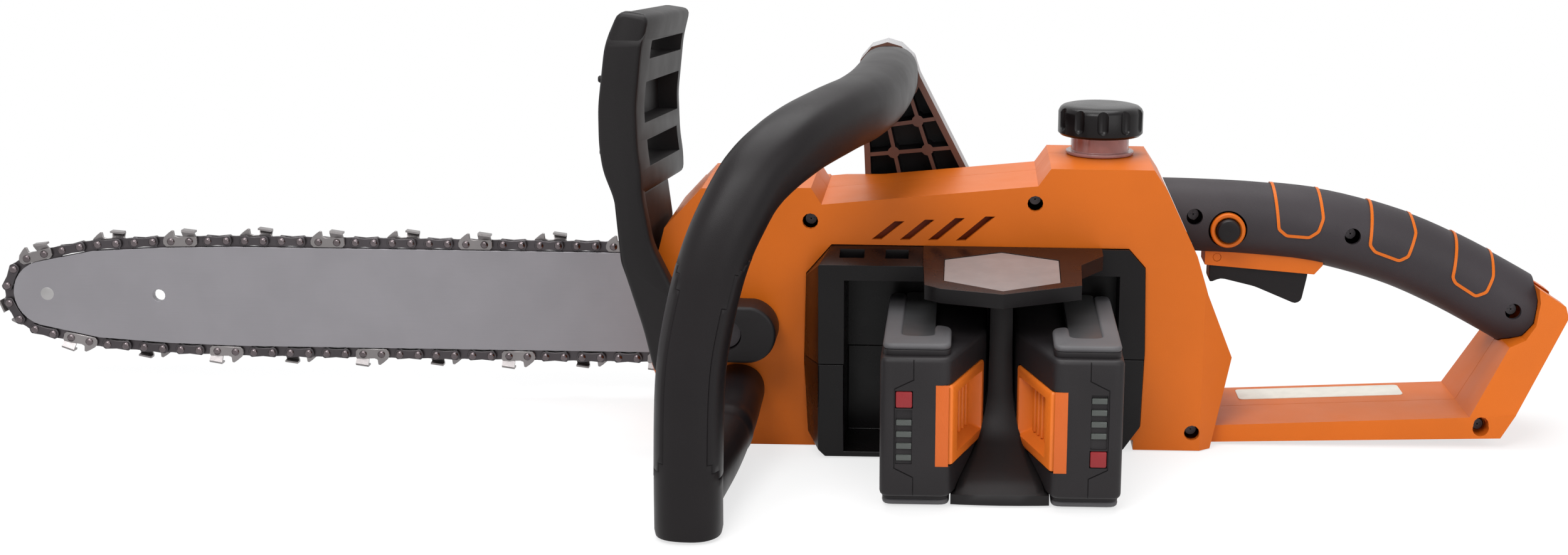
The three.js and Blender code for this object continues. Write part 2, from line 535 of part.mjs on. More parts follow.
// ---------------------------------------------------------------- chain loop
// The rivet line: round the nose, along both edges of the bar, and round the drive sprocket.
const LINE_HALF = BAR_HALF + RIVET_OUT;
const NOSE_LINE_R = NOSE_R + RIVET_OUT;
const LOOP_LENGTH = DRIVE_LINKS * CHAIN_PITCH;
const TAPER = 62; // length over which the bar narrows towards its nose
const TAIL_TAPER = 55; // length over which the chain closes in on the drive sprocket
const loopPoints = (noseX) => {
  const arc = (cx, r, from, to, steps) =>
    Array.from({ length: steps + 1 }, (_, i) => {
      const a = from + ((to - from) * i) / steps;
      return new THREE.Vector2(cx + r * Math.cos(a), BAR_Z + r * Math.sin(a));
    });
  const front = arc(noseX, NOSE_LINE_R, Math.PI * 0.585, Math.PI * 1.415, 12);
  const rear = arc(0, SPROCKET_R, -Math.PI * 0.44, Math.PI * 0.44, 10);
  const side = (sign) => [
    [noseX + TAPER * 0.4, BAR_Z + sign * (NOSE_LINE_R + (LINE_HALF - NOSE_LINE_R) * 0.62)],
    [noseX + TAPER, BAR_Z + sign * (LINE_HALF - 1)],
    [noseX + 1.6 * TAPER, BAR_Z + sign * LINE_HALF],
    [BAR_TAIL - TAIL_TAPER, BAR_Z + sign * LINE_HALF],
    [BAR_TAIL, BAR_Z + sign * (SPROCKET_R + 4.5)],
  ].map(([x, z]) => new THREE.Vector2(x, z));
  return [...front, ...side(-1), ...rear, ...side(1).reverse()];
};
const lengthOf = (points) =>
  points.reduce((sum, p, i) => sum + p.distanceTo(points[(i + 1) % points.length]), 0);
// The nose stands where the loop is just as long as the chain.
const NOSE_X = -(() => {
  const guess = 410;
  const slack = LOOP_LENGTH - lengthOf(loopPoints(-guess));
  return guess + slack / 2;
})();
const LOOP = loopPoints(NOSE_X);
const along = (distance) => {
  let left = ((distance % LOOP_LENGTH) + LOOP_LENGTH) % LOOP_LENGTH;
  for (let i = 0; i < LOOP.length; i++) {
    const a = LOOP[i];
    const b = LOOP[(i + 1) % LOOP.length];
    const step = a.distanceTo(b);
    if (left <= step) return { p: a.clone().lerp(b, left / step), t: b.clone().sub(a).normalize() };
    left -= step;
  }
  return { p: LOOP[0].clone(), t: LOOP[1].clone().sub(LOOP[0]).normalize() };
};
const offsetLoop = (out) => {
  const n = LOOP.length;
  return LOOP.map((p, i) => {
    const t = LOOP[(i + 1) % n].clone().sub(LOOP[(i + n - 1) % n]).normalize();
    return [p.x + t.y * -out, p.y + t.x * out];
  });
};

const STUDS = [-43, -65];
const STUD_R = 4;
const TENSION = { x: -70, z: 36 };
const TENSION_R = 2.5;
const TENSION_TRAVEL = 1.6;
const tensionSlot = (y0, y1) => {
  const x0 = TENSION.x - TENSION_TRAVEL - TENSION_R - GAP;
  const x1 = TENSION.x + TENSION_R + GAP;
  return box(x0, x1, y0, y1, TENSION.z - TENSION_R - GAP, TENSION.z + TENSION_R + GAP);
};
const CHAIN_HALF = 3.7; // half width over the side straps
const CHAIN_PHASE = -0.05; // where the first side link stands on the loop, in pitches
const TANG = 4.6; // depth of the drive tangs below the rivet line, inside the groove

const buildBar = () => {
  const inward = offsetLoop(RIVET_OUT);
  const edge = inward.filter(([x]) => x < BAR_TAIL - 1);
  const tail = [[BAR_TAIL, BAR_Z + 19], [BAR_TAIL, BAR_Z - 19]];
  const lower = edge.filter(([, z]) => z < BAR_Z);
  const upper = edge.filter(([, z]) => z >= BAR_Z);
  const byAngle = [...upper, ...lower, ...tail].sort((a, b) => angleFrom(a) - angleFrom(b));
  const y0 = BAR_Y - BAR_THICK / 2;
  const y1 = BAR_Y + BAR_THICK / 2;
  const blank = prism(byAngle, y0, y1);
  const core = prism(byAngle.map(([x, z]) => shrink(x, z, GROOVE_DEPTH)), BAR_Y - GROOVE, BAR_Y + GROOVE);
  const groove = box(-600, 100, BAR_Y - GROOVE / 2, BAR_Y + GROOVE / 2, 0, 120).subtract(core);
  const slot = box(STUDS[1] - 8, STUDS[0] + 8, y0 - 1, y1 + 1, BAR_Z - STUD_R - GAP,
    BAR_Z + STUD_R + GAP);
  const nosePocket = rod(NOSE_X, BAR_Z, BAR_Y - GROOVE / 2, BAR_Y + GROOVE / 2, NOSE_R + 2, 24);
  const rivet = rod(NOSE_X, BAR_Z, y0, y1, 2.6, 14);
  const hole = rod(NOSE_X + 58, BAR_Z, y0 - 1, y1 + 1, 3.2, 14);
  const pinHole = tensionSlot(y0 - 1, y1 + 1);
  piece("guide_bar", blank.subtract(groove).subtract(nosePocket).add(rivet).subtract(slot)
    .subtract(hole).subtract(pinHole), LOOK.steel);

  const teeth = 9;
  const star = Array.from({ length: teeth * 4 }, (_, i) => {
    const a = (2 * Math.PI * (i + 0.5)) / (teeth * 4);
    const r = i % 4 < 2 ? NOSE_R - 2.4 : NOSE_R - 5.4;
    return [NOSE_X + r * Math.cos(a), BAR_Z + r * Math.sin(a)];
  });
  const nose = prism(star, BAR_Y - 0.6, BAR_Y + 0.6).subtract(rod(NOSE_X, BAR_Z, 30, 50, 3, 14));
  piece("nose_sprocket", nose, LOOK.steel);
};
const angleFrom = ([x, z]) => Math.atan2((z - BAR_Z) * 8, x + 215);
const shrink = (x, z, depth) => {
  const side = Math.sign(z - BAR_Z);
  const dx = x < NOSE_X + 15 ? ((NOSE_X + 15 - x) / (NOSE_R + 15)) * depth : 0;
  return [x + dx, z - side * Math.min(depth, Math.abs(z - BAR_Z) * 0.4)];
};

const buildChain = () => {
  const ring = prism(offsetLoop(-2.6), BAR_Y - 0.6, BAR_Y + 0.6).subtract(prism(offsetLoop(TANG), 0, 80));
  const blocks = [];
  const cutters = [];
  for (let i = 0; i < DRIVE_LINKS; i++) {
    const middle = (i + CHAIN_PHASE) * CHAIN_PITCH;
    const a = along(middle);
    const tilt = (s) => s.rotate(0, (-Math.atan2(a.t.y, a.t.x) * 180) / Math.PI, 0)
      .translate(a.p.x, 0, a.p.y);
    blocks.push(tilt(box(-7, 7, BAR_Y - CHAIN_HALF, BAR_Y + CHAIN_HALF, -2.3, 3)));
    if (i % 2 === 0) {
      const rank = i / 2;
      const near = rank > DRIVE_LINKS / 4 === (rank % 2 === 1);
      const y0 = near ? BAR_Y - 4.6 : BAR_Y - 0.5;
      const gaugeY = near ? BAR_Y - 2.6 : BAR_Y + 0.6;
      cutters.push(tilt(box(-8.4, -1.6, y0, y0 + 5.1, -7, -2)));
      cutters.push(tilt(box(2.8, 7.4, gaugeY, gaugeY + 2, -6, -2)));
    }
  }
  piece("chain", ring.add(wasm.Manifold.union(blocks)).add(wasm.Manifold.union(cutters)), LOOK.chain);
};

// ---------------------------------------------------------------- bar clamp, tensioner, sprocket cover
const COVER = { inner: RIGHT_Y + GAP, deep: 66, shallow: 50.5 };
const COVER_STEP = -34; // the cover is shallow ahead of this and deep behind it
const COVER_OUTLINE = [[-86, 6], [-30, 5], [38, 5], [52, 20], [52, 80], [42, 98], [-60, 96], [-86, 94]];

const buildClamp = () => {
  STUDS.forEach((x, i) => {
    const shank = rod(x, BAR_Z, RIGHT_Y - WALL - 3, COVER.shallow + 7, STUD_R, 14);
    const head = rod(x, BAR_Z, RIGHT_Y - WALL - 5, RIGHT_Y - WALL - GAP, STUD_R + 3, 6);
    piece(`bar_stud_${i + 1}`, shank.add(head), LOOK.steel);
    const nut = rod(x, BAR_Z, COVER.shallow + GAP, COVER.shallow + 6, 7.5, 6);
    piece(`bar_nut_${i + 1}`, nut.subtract(rod(x, BAR_Z, 40, 70, boreFor(STUD_R, 14), 14)), LOOK.steel);
  });
  const screwAxis = (x0, x1, r, sides) => {
    const geometry = new THREE.CylinderGeometry(r, r, x1 - x0, sides);
    geometry.rotateZ(Math.PI / 2);
    geometry.translate((x0 + x1) / 2, 25, TENSION.z);
    return solid(geometry);
  };
  piece("tension_screw", screwAxis(-80, -50, 2, 12).add(screwAxis(-82, -79, 3.6, 12)), LOOK.steel);
  const nut = box(TENSION.x - 4, TENSION.x + 4, 20.5, 29.5, TENSION.z - 5, TENSION.z + 5)
    .subtract(screwAxis(-90, -40, 2.1, 12));
  piece("tension_pin", nut.add(rod(TENSION.x, TENSION.z, 29, BAR_Y + 1.8, TENSION_R, 12)), LOOK.steel);

  const deep = prism(COVER_OUTLINE, COVER.inner, COVER.deep)
    .subtract(box(-100, COVER_STEP, COVER.shallow, 80, 0, 120));
  const room = prism(inset(COVER_OUTLINE, WALL), COVER.inner - 1, COVER.shallow - WALL)
    .add(prism(inset(COVER_OUTLINE, WALL), COVER.inner, COVER.deep - WALL)
      .subtract(box(-100, COVER_STEP + WALL, 0, 80, 0, 120)));
  const mouth = box(-90, -80, COVER.inner - 1, COVER.shallow - WALL, 9, 91);
  const holes = union(STUDS.map((x) => rod(x, BAR_Z, 30, 80, STUD_R + GAP, 14)));
  const pads = union(STUDS.map((x) => tube(x, BAR_Z, BAR_Y + BAR_THICK / 2 + GAP, COVER.shallow - 1,
    9, STUD_R + GAP, 14)));
  piece("sprocket_cover", deep.subtract(room).subtract(mouth).add(pads).subtract(holes), LOOK.black);
};

// ---------------------------------------------------------------- drive train
const toothed = (cx, cz, teeth, y0, y1, turn) => {
  const pitchR = (MOTOR_X * teeth) / (GEAR_TEETH + PINION_TEETH);
  const module = (2 * MOTOR_X) / (GEAR_TEETH + PINION_TEETH);
  const points = [];
  for (let i = 0; i < teeth; i++) {
    const step = (2 * Math.PI) / teeth;
    const corners = [[-0.27, -1.1], [-0.12, 0.72], [0.12, 0.72], [0.27, -1.1]];
    for (const [part, height] of corners) {
      const a = (i + part) * step + turn;
      const r = pitchR + height * module;
      points.push([cx + r * Math.cos(a), cz + r * Math.sin(a)]);
    }
  }
  return prism(points, y0, y1);
};

const SHAFT_SIDES = 16; // shafts and their bores share this, so the running gap is even
const RUN = 0.05; // running clearance on a radius
// Radius of a bore whose flats clear a turning shaft of the same number of sides.
const boreFor = (r, sides = SHAFT_SIDES) => (r + RUN) / Math.cos(Math.PI / sides);
const BEARING_Y = [RIGHT_Y - WALL - 5.4, RIGHT_Y - WALL - GAP];
const STATOR = { y0: DOCK.back + WALL + 0.4, y1: 5, outer: 30, bore: 17.5 };

const onShaft = (x, y0, y1, r, shaft, sides) => tube(x, BAR_Z, y0, y1, r, boreFor(shaft), sides,
  SHAFT_SIDES);

const buildMotor = () => {
  const core = tube(MOTOR_X, BAR_Z, STATOR.y0, STATOR.y1, STATOR.outer, STATOR.bore, 20);
  const windings = tube(MOTOR_X, BAR_Z, STATOR.y1 - 1, STATOR.y1 + 3, 27, STATOR.bore + 1.5, 20);
  const endPlate = onShaft(MOTOR_X, STATOR.y0, STATOR.y0 + 3.4, 20, 12, 20);
  piece("motor_stator", core.add(windings).add(endPlate), LOOK.copper);
  const shaft = rod(MOTOR_X, BAR_Z, STATOR.y0, RIGHT_Y - WALL - GAP, SHAFT_R, SHAFT_SIDES);
  piece("motor_rotor", rod(MOTOR_X, BAR_Z, STATOR.y0 + 5, STATOR.y1 + 1, STATOR.bore - 0.6, 20)
    .add(shaft), LOOK.steel);
  piece("motor_bearing_inner",
    onShaft(MOTOR_X, STATOR.y0, STATOR.y0 + 3.2, 12, SHAFT_R, SHAFT_SIDES), LOOK.steel);
  piece("motor_bearing_outer", onShaft(MOTOR_X, ...BEARING_Y, 12, SHAFT_R, SHAFT_SIDES), LOOK.steel);
  const fanY = STATOR.y1 + 4;
  const blades = union(
    Array.from({ length: 8 }, (_, i) =>
      box(9, 24, fanY + 1, fanY + 6, -1, 1).rotate(0, 45 * i, 0).translate(MOTOR_X, 0, BAR_Z)),
  );
  const disc = onShaft(MOTOR_X, fanY, fanY + 1.4, 25, SHAFT_R, 20);
  piece("fan", disc.add(blades).add(onShaft(MOTOR_X, fanY, fanY + 6.5, 10, SHAFT_R, 16)), LOOK.black);
};

const buildDrive = () => {
  const halfTooth = Math.PI / PINION_TEETH;
  const pinion = toothed(MOTOR_X, BAR_Z, PINION_TEETH, ...GEAR_Y, Math.PI + halfTooth);
  piece("pinion", pinion.subtract(rod(MOTOR_X, BAR_Z, 0, 40, boreFor(SHAFT_R), SHAFT_SIDES)), LOOK.steel);
  const gear = toothed(0, BAR_Z, GEAR_TEETH, ...GEAR_Y, 0);
  piece("drive_gear", gear.subtract(rod(0, BAR_Z, 0, 40, boreFor(SPINDLE_R), SHAFT_SIDES)), LOOK.steel);
  const collar = rod(0, BAR_Z, GEAR_Y[0] - 3, GEAR_Y[0] - GAP, 10, SHAFT_SIDES);
  piece("spindle", rod(0, BAR_Z, GEAR_Y[0] - 5, 60, SPINDLE_R, SHAFT_SIDES).add(collar), LOOK.steel);
  piece("spindle_bearing", onShaft(0, ...BEARING_Y, 14, SPINDLE_R, SHAFT_SIDES), LOOK.steel);
  const groove = tube(0, BAR_Z, BAR_Y - 1, BAR_Y + 1, 20, SPROCKET_R - TANG - 1.6, 20);
  piece("drive_sprocket", onShaft(0, 34.2, 42.2, SPROCKET_R - 3.6, SPINDLE_R, 20).subtract(groove),
    LOOK.steel);
  const hollow = tube(0, BAR_Z, 45.5, 57, 24.5, 9, 24);
  piece("brake_drum", onShaft(0, 43.5, 56, 27, SPINDLE_R, 24).subtract(hollow), LOOK.steel);
  const band = tube(0, BAR_Z, 45, 55, 29, 27.6, 24);
  piece("brake_band", band.subtract(box(-40, -10, 40, 60, BAR_Z - 9, BAR_Z + 5)), LOOK.steel);
  const turns = 5;
  const coil = Array.from({ length: 6 * turns + 1 }, (_, i) => {
    const a = (Math.PI * i) / 3;
    return [-18 + (30 * i) / (6 * turns), 50 + 4 * Math.cos(a), 84 + 4 * Math.sin(a)];
  });
  piece("brake_spring", sweep(coil, round(0.8, 4), 54), LOOK.steel);
};

const buildInside = () => {
  const pumpX = 13;
  const pump = box(-pumpX, pumpX, BEARING_Y[0], BEARING_Y[1], 69, 84);
  piece("oil_pump", pump, LOOK.steel);
  const hose = [[0, 27, 84.3], [1, 26.5, 92], [14, 20, 104], [50, 8, 111.5], [90, 3, 112.5],
    [112, 0, 112.5]];
  const tankSide = CAP_X - 19 - GAP;
  const ends = box(-40, 40, 0, 40, 60, 84.3).add(box(tankSide, 200, -40, 40, 90, 130));
  piece("oil_hose", sweep(hose, round(2.4, 8), 14).subtract(ends), LOOK.black);
  piece("oil_filter", pillar(CAP_X + 8, 6, 108.9, 122, 5, 12), LOOK.steel);
  const boardY = DOCK.back + WALL + 0.5;
  const board = box(98, 146, boardY, boardY + 1.6, 20, 80);
  piece("control_board", board.add(box(108, 128, boardY + 1, boardY + 9, 30, 60)), LOOK.board);
};

buildHousing();
buildGrip();
buildDock();
buildPacks();
buildOil();
buildHandle();
buildGuard();
buildBar();
buildChain();
buildClamp();
buildMotor();
buildDrive();
buildInside();

export default saw;
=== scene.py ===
"""Battery chainsaw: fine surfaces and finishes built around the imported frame.

The shapes are in millimetres, in the frame of the saw: X runs from the bar nose (negative) to the
rear handle, Y from the battery side (negative) to the cover side, Z up. The depths and scales of
the finishes, and the lamps, are in metres.
"""

from __future__ import annotations

import logging
import math
from dataclasses import dataclass, field
from enum import Enum
from typing import Callable, Iterable, Sequence

import bmesh
import bpy
from mathutils import Matrix, Vector

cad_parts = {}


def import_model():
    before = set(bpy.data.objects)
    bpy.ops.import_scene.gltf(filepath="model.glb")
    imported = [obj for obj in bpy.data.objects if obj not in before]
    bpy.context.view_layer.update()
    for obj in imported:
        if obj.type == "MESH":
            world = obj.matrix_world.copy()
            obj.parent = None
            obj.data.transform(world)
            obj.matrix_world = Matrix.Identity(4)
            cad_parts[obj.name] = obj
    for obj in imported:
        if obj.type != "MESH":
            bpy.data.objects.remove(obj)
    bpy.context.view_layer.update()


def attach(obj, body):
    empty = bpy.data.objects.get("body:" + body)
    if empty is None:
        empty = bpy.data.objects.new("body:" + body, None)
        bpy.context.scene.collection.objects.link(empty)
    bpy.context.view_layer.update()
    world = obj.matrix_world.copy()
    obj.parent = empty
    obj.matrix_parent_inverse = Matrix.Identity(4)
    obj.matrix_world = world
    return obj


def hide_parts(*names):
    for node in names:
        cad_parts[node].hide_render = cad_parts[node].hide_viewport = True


LOG = logging.getLogger("chainsaw")
MM = 0.001
THINNEST = 0.02  # least radius of a turned ring, so that its end stays a face
SMOOTH_DEG = 34.0  # edges sharper than this stay sharp
WELD_M = 2e-6  # corners of the frame's solids nearer than this are one
FLAT_DEG = 0.6  # facets that turn less than this are one face
BEVEL_DEG = 28.0  # edges of a moulding sharper than this are rounded
Point2 = tuple[float, float]
Point3 = tuple[float, float, float]
Solid = bmesh.types.BMesh
Piece = bpy.types.Object
Material = bpy.types.Material
Socket = bpy.types.NodeSocket
Finishes = dict[str, Material]


class Body(Enum):
    """The rigid bodies of the frame that the pieces ride on."""

    SAW = "saw"
    TRIGGER = "trigger"
    LOCK = "lock_button"
    CAP = "cap"
    GUARD = "guard"
    SPINDLE = "spindle"
    ROTOR = "rotor"
    NOSE = "nose"
    NUT_1 = "nut_1"
    NUT_2 = "nut_2"
    TENSION_SCREW = "tension_screw"
    TENSION_PIN = "tension_pin"
    PACK_LEFT = "pack_left"
    PACK_RIGHT = "pack_right"
    LATCH_LEFT = "latch_left"
    LATCH_RIGHT = "latch_right"
    BUTTON_LEFT = "button_left"
    BUTTON_RIGHT = "button_right"


class Face(Enum):
    """The direction that a flat outline is read in."""

    SIDE = "side"  # (x, z), thick along Y
    PLAN = "plan"  # (x, y), thick along Z


# ---------------------------------------------------------------- node graph helpers
@dataclass
class Graph:
    """A material's node tree with short calls for the nodes that the finishes share."""

    name: str
    tree: bpy.types.NodeTree = field(init=False)
    material: Material = field(init=False)
    shader: bpy.types.Node = field(init=False)

    def __post_init__(self) -> None:
        """Makes the material with its principled shader."""
        self.material = bpy.data.materials.new(self.name)
        self.material.use_nodes = True
        self.tree = self.material.node_tree
        self.shader = self.tree.nodes["Principled BSDF"]

    def node(self, kind: str, **values: object) -> bpy.types.Node:
        """Adds one node and sets its properties or input defaults.

        Args:
            kind: the node's type name.
            values: properties of the node, or inputs by name with spaces as underscores.

        Returns:
            The new node.
        """
        made = self.tree.nodes.new(kind)
        for key, value in values.items():
            label = key.replace("_", " ")
            if label in made.inputs:
                made.inputs[label].default_value = value
            else:
                setattr(made, key, value)
        return made

    def link(self, source: Socket, target: Socket) -> None:
        """Joins an output to an input."""
        self.tree.links.new(source, target)

    def place(self, stretch: Point3 = (1.0, 1.0, 1.0)) -> Socket:
        """Gives the object's own coordinates in metres, stretched.

        Args:
            stretch: the scale along each axis.

        Returns:
            The vector output.
        """
        where = self.node("ShaderNodeTexCoord")
        mapping = self.node("ShaderNodeMapping")
        mapping.inputs["Scale"].default_value = stretch
        self.link(where.outputs["Object"], mapping.inputs["Vector"])
        return mapping.outputs["Vector"]

    def noise(self, scale: float, detail: float, vector: Socket) -> Socket:
        """Adds a noise texture.

        Args:
            scale: cells per metre.
            detail: number of octaves.
            vector: the coordinates.

        Returns:
            The factor output.
        """
        made = self.node("ShaderNodeTexNoise", Scale=scale, Detail=detail)
        self.link(vector, made.inputs["Vector"])
        return made.outputs["Fac"]

    def ramp(self, factor: Socket, low: Sequence[float], high: Sequence[float],
             span: Point2 = (0.35, 0.65)) -> Socket:
        """Maps a factor to colours between two ends.

        Args:
            factor: the value to map.
            low: colour at the low end.
            high: colour at the high end.
            span: positions of the two ends.

        Returns:
            The colour output.
        """
        made = self.node("ShaderNodeValToRGB")
        ends = made.color_ramp.elements
        ends[0].position, ends[1].position = span
        ends[0].color = (*low, 1.0)
        ends[1].color = (*high, 1.0)
        self.link(factor, made.inputs["Fac"])
        return made.outputs["Color"]

    def bumps(self, layers: Sequence[tuple[Socket, float]]) -> None:
        """Chains bump layers into the shader's normal.

        Args:
            layers: pairs of height output and depth in metres.
        """
        last = None
        for height, depth in layers:
            bump = self.node("ShaderNodeBump", Strength=1.0, Distance=depth)
            self.link(height, bump.inputs["Height"])
            if last is not None:
                self.link(last, bump.inputs["Normal"])
            last = bump.outputs["Normal"]
        if last is not None:
            self.link(last, self.shader.inputs["Normal"])


def shade(colour: Sequence[float], factor: float) -> tuple[float, float, float]:
    """A colour made darker or lighter by a factor."""
    red, green, blue = (min(1.0, channel * factor) for channel in colour[:3])
    return red, green, blue


# ---------------------------------------------------------------- finishes
@dataclass(frozen=True)
class MouldedPlastic:
    """Injection-moulded plastic with a fine spark-eroded grain and slight colour drift."""

    name: str
    colour: Point3
    roughness: float = 0.42
    grain_per_m: float = 2600.0
    grain_depth: float = 0.00004
    drift: float = 0.06
    specks: bool = False
    specular: float = 0.45

    def build(self) -> Material:
        """Builds the material with grain, drift and worn gloss."""
        g = Graph(self.name)
        where = g.place()
        slow = g.noise(26.0, 3.0, where)
        colour = g.ramp(slow, shade(self.colour, 1 - self.drift), shade(self.colour, 1 + self.drift))
        if self.specks:
            dust = g.noise(900.0, 1.0, where)
            fleck = g.ramp(dust, (0.0, 0.0, 0.0), (1.0, 1.0, 1.0), (0.76, 0.79))
            mix = g.node("ShaderNodeMix", data_type="RGBA")
            g.link(fleck, mix.inputs["Factor"])
            g.link(colour, mix.inputs["A"])
            mix.inputs["B"].default_value = (*shade(self.colour, 3.2), 1.0)
            colour = mix.outputs["Result"]
        g.link(colour, g.shader.inputs["Base Color"])
        worn = g.noise(60.0, 4.0, where)
        gloss = g.node("ShaderNodeMapRange")
        gloss.inputs["To Min"].default_value = self.roughness - 0.07
        gloss.inputs["To Max"].default_value = self.roughness + 0.09
        g.link(worn, gloss.inputs["Value"])
        g.link(gloss.outputs["Result"], g.shader.inputs["Roughness"])
        g.shader.inputs["Specular IOR Level"].default_value = self.specular
        fine = g.noise(self.grain_per_m, 2.0, where)
        flow = g.noise(45.0, 2.0, where)
        g.bumps([(fine, self.grain_depth), (flow, 0.00012)])
        return g.material


@dataclass(frozen=True)
class LeatherGrain:
    """Soft plastic with a pebbled grain of rounded cells."""

    name: str
    colour: Point3
    roughness: float = 0.6
    cells_per_m: float = 900.0
    depth: float = 0.00018

    def build(self) -> Material:
        """Builds the material from two sizes of rounded cells."""
        g = Graph(self.name)
        where = g.place()
        tint = g.noise(90.0, 3.0, where)
        colour = g.ramp(tint, shade(self.colour, 0.86), shade(self.colour, 1.15))
        g.link(colour, g.shader.inputs["Base Color"])
        g.shader.inputs["Roughness"].default_value = self.roughness
        cells = g.node("ShaderNodeTexVoronoi", Scale=self.cells_per_m, feature="SMOOTH_F1")
        g.link(where, cells.inputs["Vector"])
        fine = g.noise(self.cells_per_m * 2.6, 2.0, where)
        g.bumps([(cells.outputs["Distance"], -self.depth), (fine, self.depth * 0.4)])
        return g.material


@dataclass(frozen=True)
class Steel:
    """Ground or oiled steel, with the grain of its last working."""

    name: str
    colour: Point3
    roughness: float = 0.32
    grain: Point3 = (14.0, 700.0, 2600.0)
    stain: float = 0.12
    metallic: float = 1.0
    scratch_depth: float = 0.00001

    def build(self) -> Material:
        """Builds the material with drawn scratches and oil stains."""
        g = Graph(self.name)
        drawn = g.noise(1.0, 3.0, g.place(self.grain))
        where = g.place()
        stains = g.noise(38.0, 4.0, where)
        colour = g.ramp(stains, shade(self.colour, 1 - self.stain), shade(self.colour, 1 + self.stain))
        g.link(colour, g.shader.inputs["Base Color"])
        g.shader.inputs["Metallic"].default_value = self.metallic
        gloss = g.node("ShaderNodeMapRange")
        gloss.inputs["To Min"].default_value = self.roughness - 0.08
        gloss.inputs["To Max"].default_value = self.roughness + 0.14
        g.link(drawn, gloss.inputs["Value"])
        g.link(gloss.outputs["Result"], g.shader.inputs["Roughness"])
        g.bumps([(drawn, self.scratch_depth)])
        return g.material


@dataclass(frozen=True)
class ClearResin:
    """Tinted translucent plastic of the filler neck."""

    name: str
    colour: Point3

    def build(self) -> Material:
        """Builds a slightly cloudy transmitting material."""
        g = Graph(self.name)
        where = g.place()
        cloud = g.noise(120.0, 3.0, where)
        colour = g.ramp(cloud, shade(self.colour, 0.9), shade(self.colour, 1.08))
        g.link(colour, g.shader.inputs["Base Color"])
        g.shader.inputs["Roughness"].default_value = 0.16
        g.shader.inputs["Transmission Weight"].default_value = 0.55
        g.shader.inputs["IOR"].default_value = 1.46
        g.bumps([(cloud, 0.00005)])
        return g.material


@dataclass(frozen=True)
class FoilLabel:
    """A bare self-adhesive label of one colour."""

    name: str
    colour: Point3
    roughness: float = 0.35
    wave_depth: float = 0.00006

    def build(self) -> Material:
        """Builds a smooth film with a faint pressed-on waviness."""
        g = Graph(self.name)
        where = g.place()
        press = g.noise(160.0, 2.0, where)
        colour = g.ramp(press, shade(self.colour, 0.95), shade(self.colour, 1.04))
        g.link(colour, g.shader.inputs["Base Color"])
        g.shader.inputs["Roughness"].default_value = self.roughness
        g.bumps([(press, self.wave_depth)])
        return g.material


@dataclass(frozen=True)
class WoundCopper:
    """Enamelled wire laid in fine parallel turns."""

    name: str
    colour: Point3

    def build(self) -> Material:
        """Builds the turns as narrow bands."""
        g = Graph(self.name)
        wave = g.node("ShaderNodeTexWave", Scale=420.0, Distortion=0.6, bands_direction="Y")
        g.link(g.place(), wave.inputs["Vector"])
        colour = g.ramp(wave.outputs["Fac"], shade(self.colour, 0.6), shade(self.colour, 1.2))
        g.link(colour, g.shader.inputs["Base Color"])
        g.shader.inputs["Metallic"].default_value = 0.8
        g.shader.inputs["Roughness"].default_value = 0.35
        g.bumps([(wave.outputs["Fac"], 0.0001)])
        return g.material


# ---------------------------------------------------------------- mesh helpers
def solid_from(name: str, bm: Solid, smooth_deg: float = SMOOTH_DEG) -> Piece:
    """Turns a bmesh in millimetres into an object in metres with smooth shading between sharp edges.

    Args:
        name: the object's name.
        bm: the mesh, which is freed.
        smooth_deg: edges sharper than this stay sharp.

    Returns:
        The new object, linked to the scene.
    """
    bmesh.ops.recalc_face_normals(bm, faces=bm.faces)
    bm.transform(Matrix.Scale(MM, 4))
    mesh = bpy.data.meshes.new(name)
    bm.to_mesh(mesh)
    bm.free()
    mesh.shade_smooth()
    mesh.set_sharp_from_angle(angle=math.radians(smooth_deg))
    made = bpy.data.objects.new(name, mesh)
    bpy.context.scene.collection.objects.link(made)
    return made


def round_edges(bm: Solid, width: float, segments: int = 2, limit_deg: float = 25.0) -> None:
    """Rounds the edges of a mesh that are sharper than a limit.

    Args:
        bm: the mesh, changed in place.
        width: bevel width.
        segments: faces across each bevel.
        limit_deg: edges flatter than this are left.
    """
    limit = math.radians(limit_deg)
    edges = [e for e in bm.edges if len(e.link_faces) == 2 and e.calc_face_angle(0.0) > limit]
    if edges and width > 0:
        bmesh.ops.bevel(bm, geom=edges, offset=width, segments=segments, profile=0.5, affect="EDGES",
                        clamp_overlap=True)


def softened(outline: Sequence[Point2], radius: float, steps: int = 4) -> list[Point2]:
    """Rounds every corner of an outline with a short curve.

    Args:
        outline: corners in order.
        radius: how far from each corner the curve starts, at most 45 % of a side.
        steps: points along each curve.

    Returns:
        The rounded outline.
    """
    points: list[Point2] = []
    count = len(outline)
    for index, corner in enumerate(outline):
        here = Vector(corner)
        before = Vector(outline[index - 1])
        after = Vector(outline[(index + 1) % count])
        start = here + (before - here).normalized() * min(radius, (before - here).length * 0.45)
        end = here + (after - here).normalized() * min(radius, (after - here).length * 0.45)
        for step in range(steps + 1):
            t = step / steps
            spot = start * (1 - t) ** 2 + here * (2 * t * (1 - t)) + end * t * t
            points.append((spot.x, spot.y))
    return points


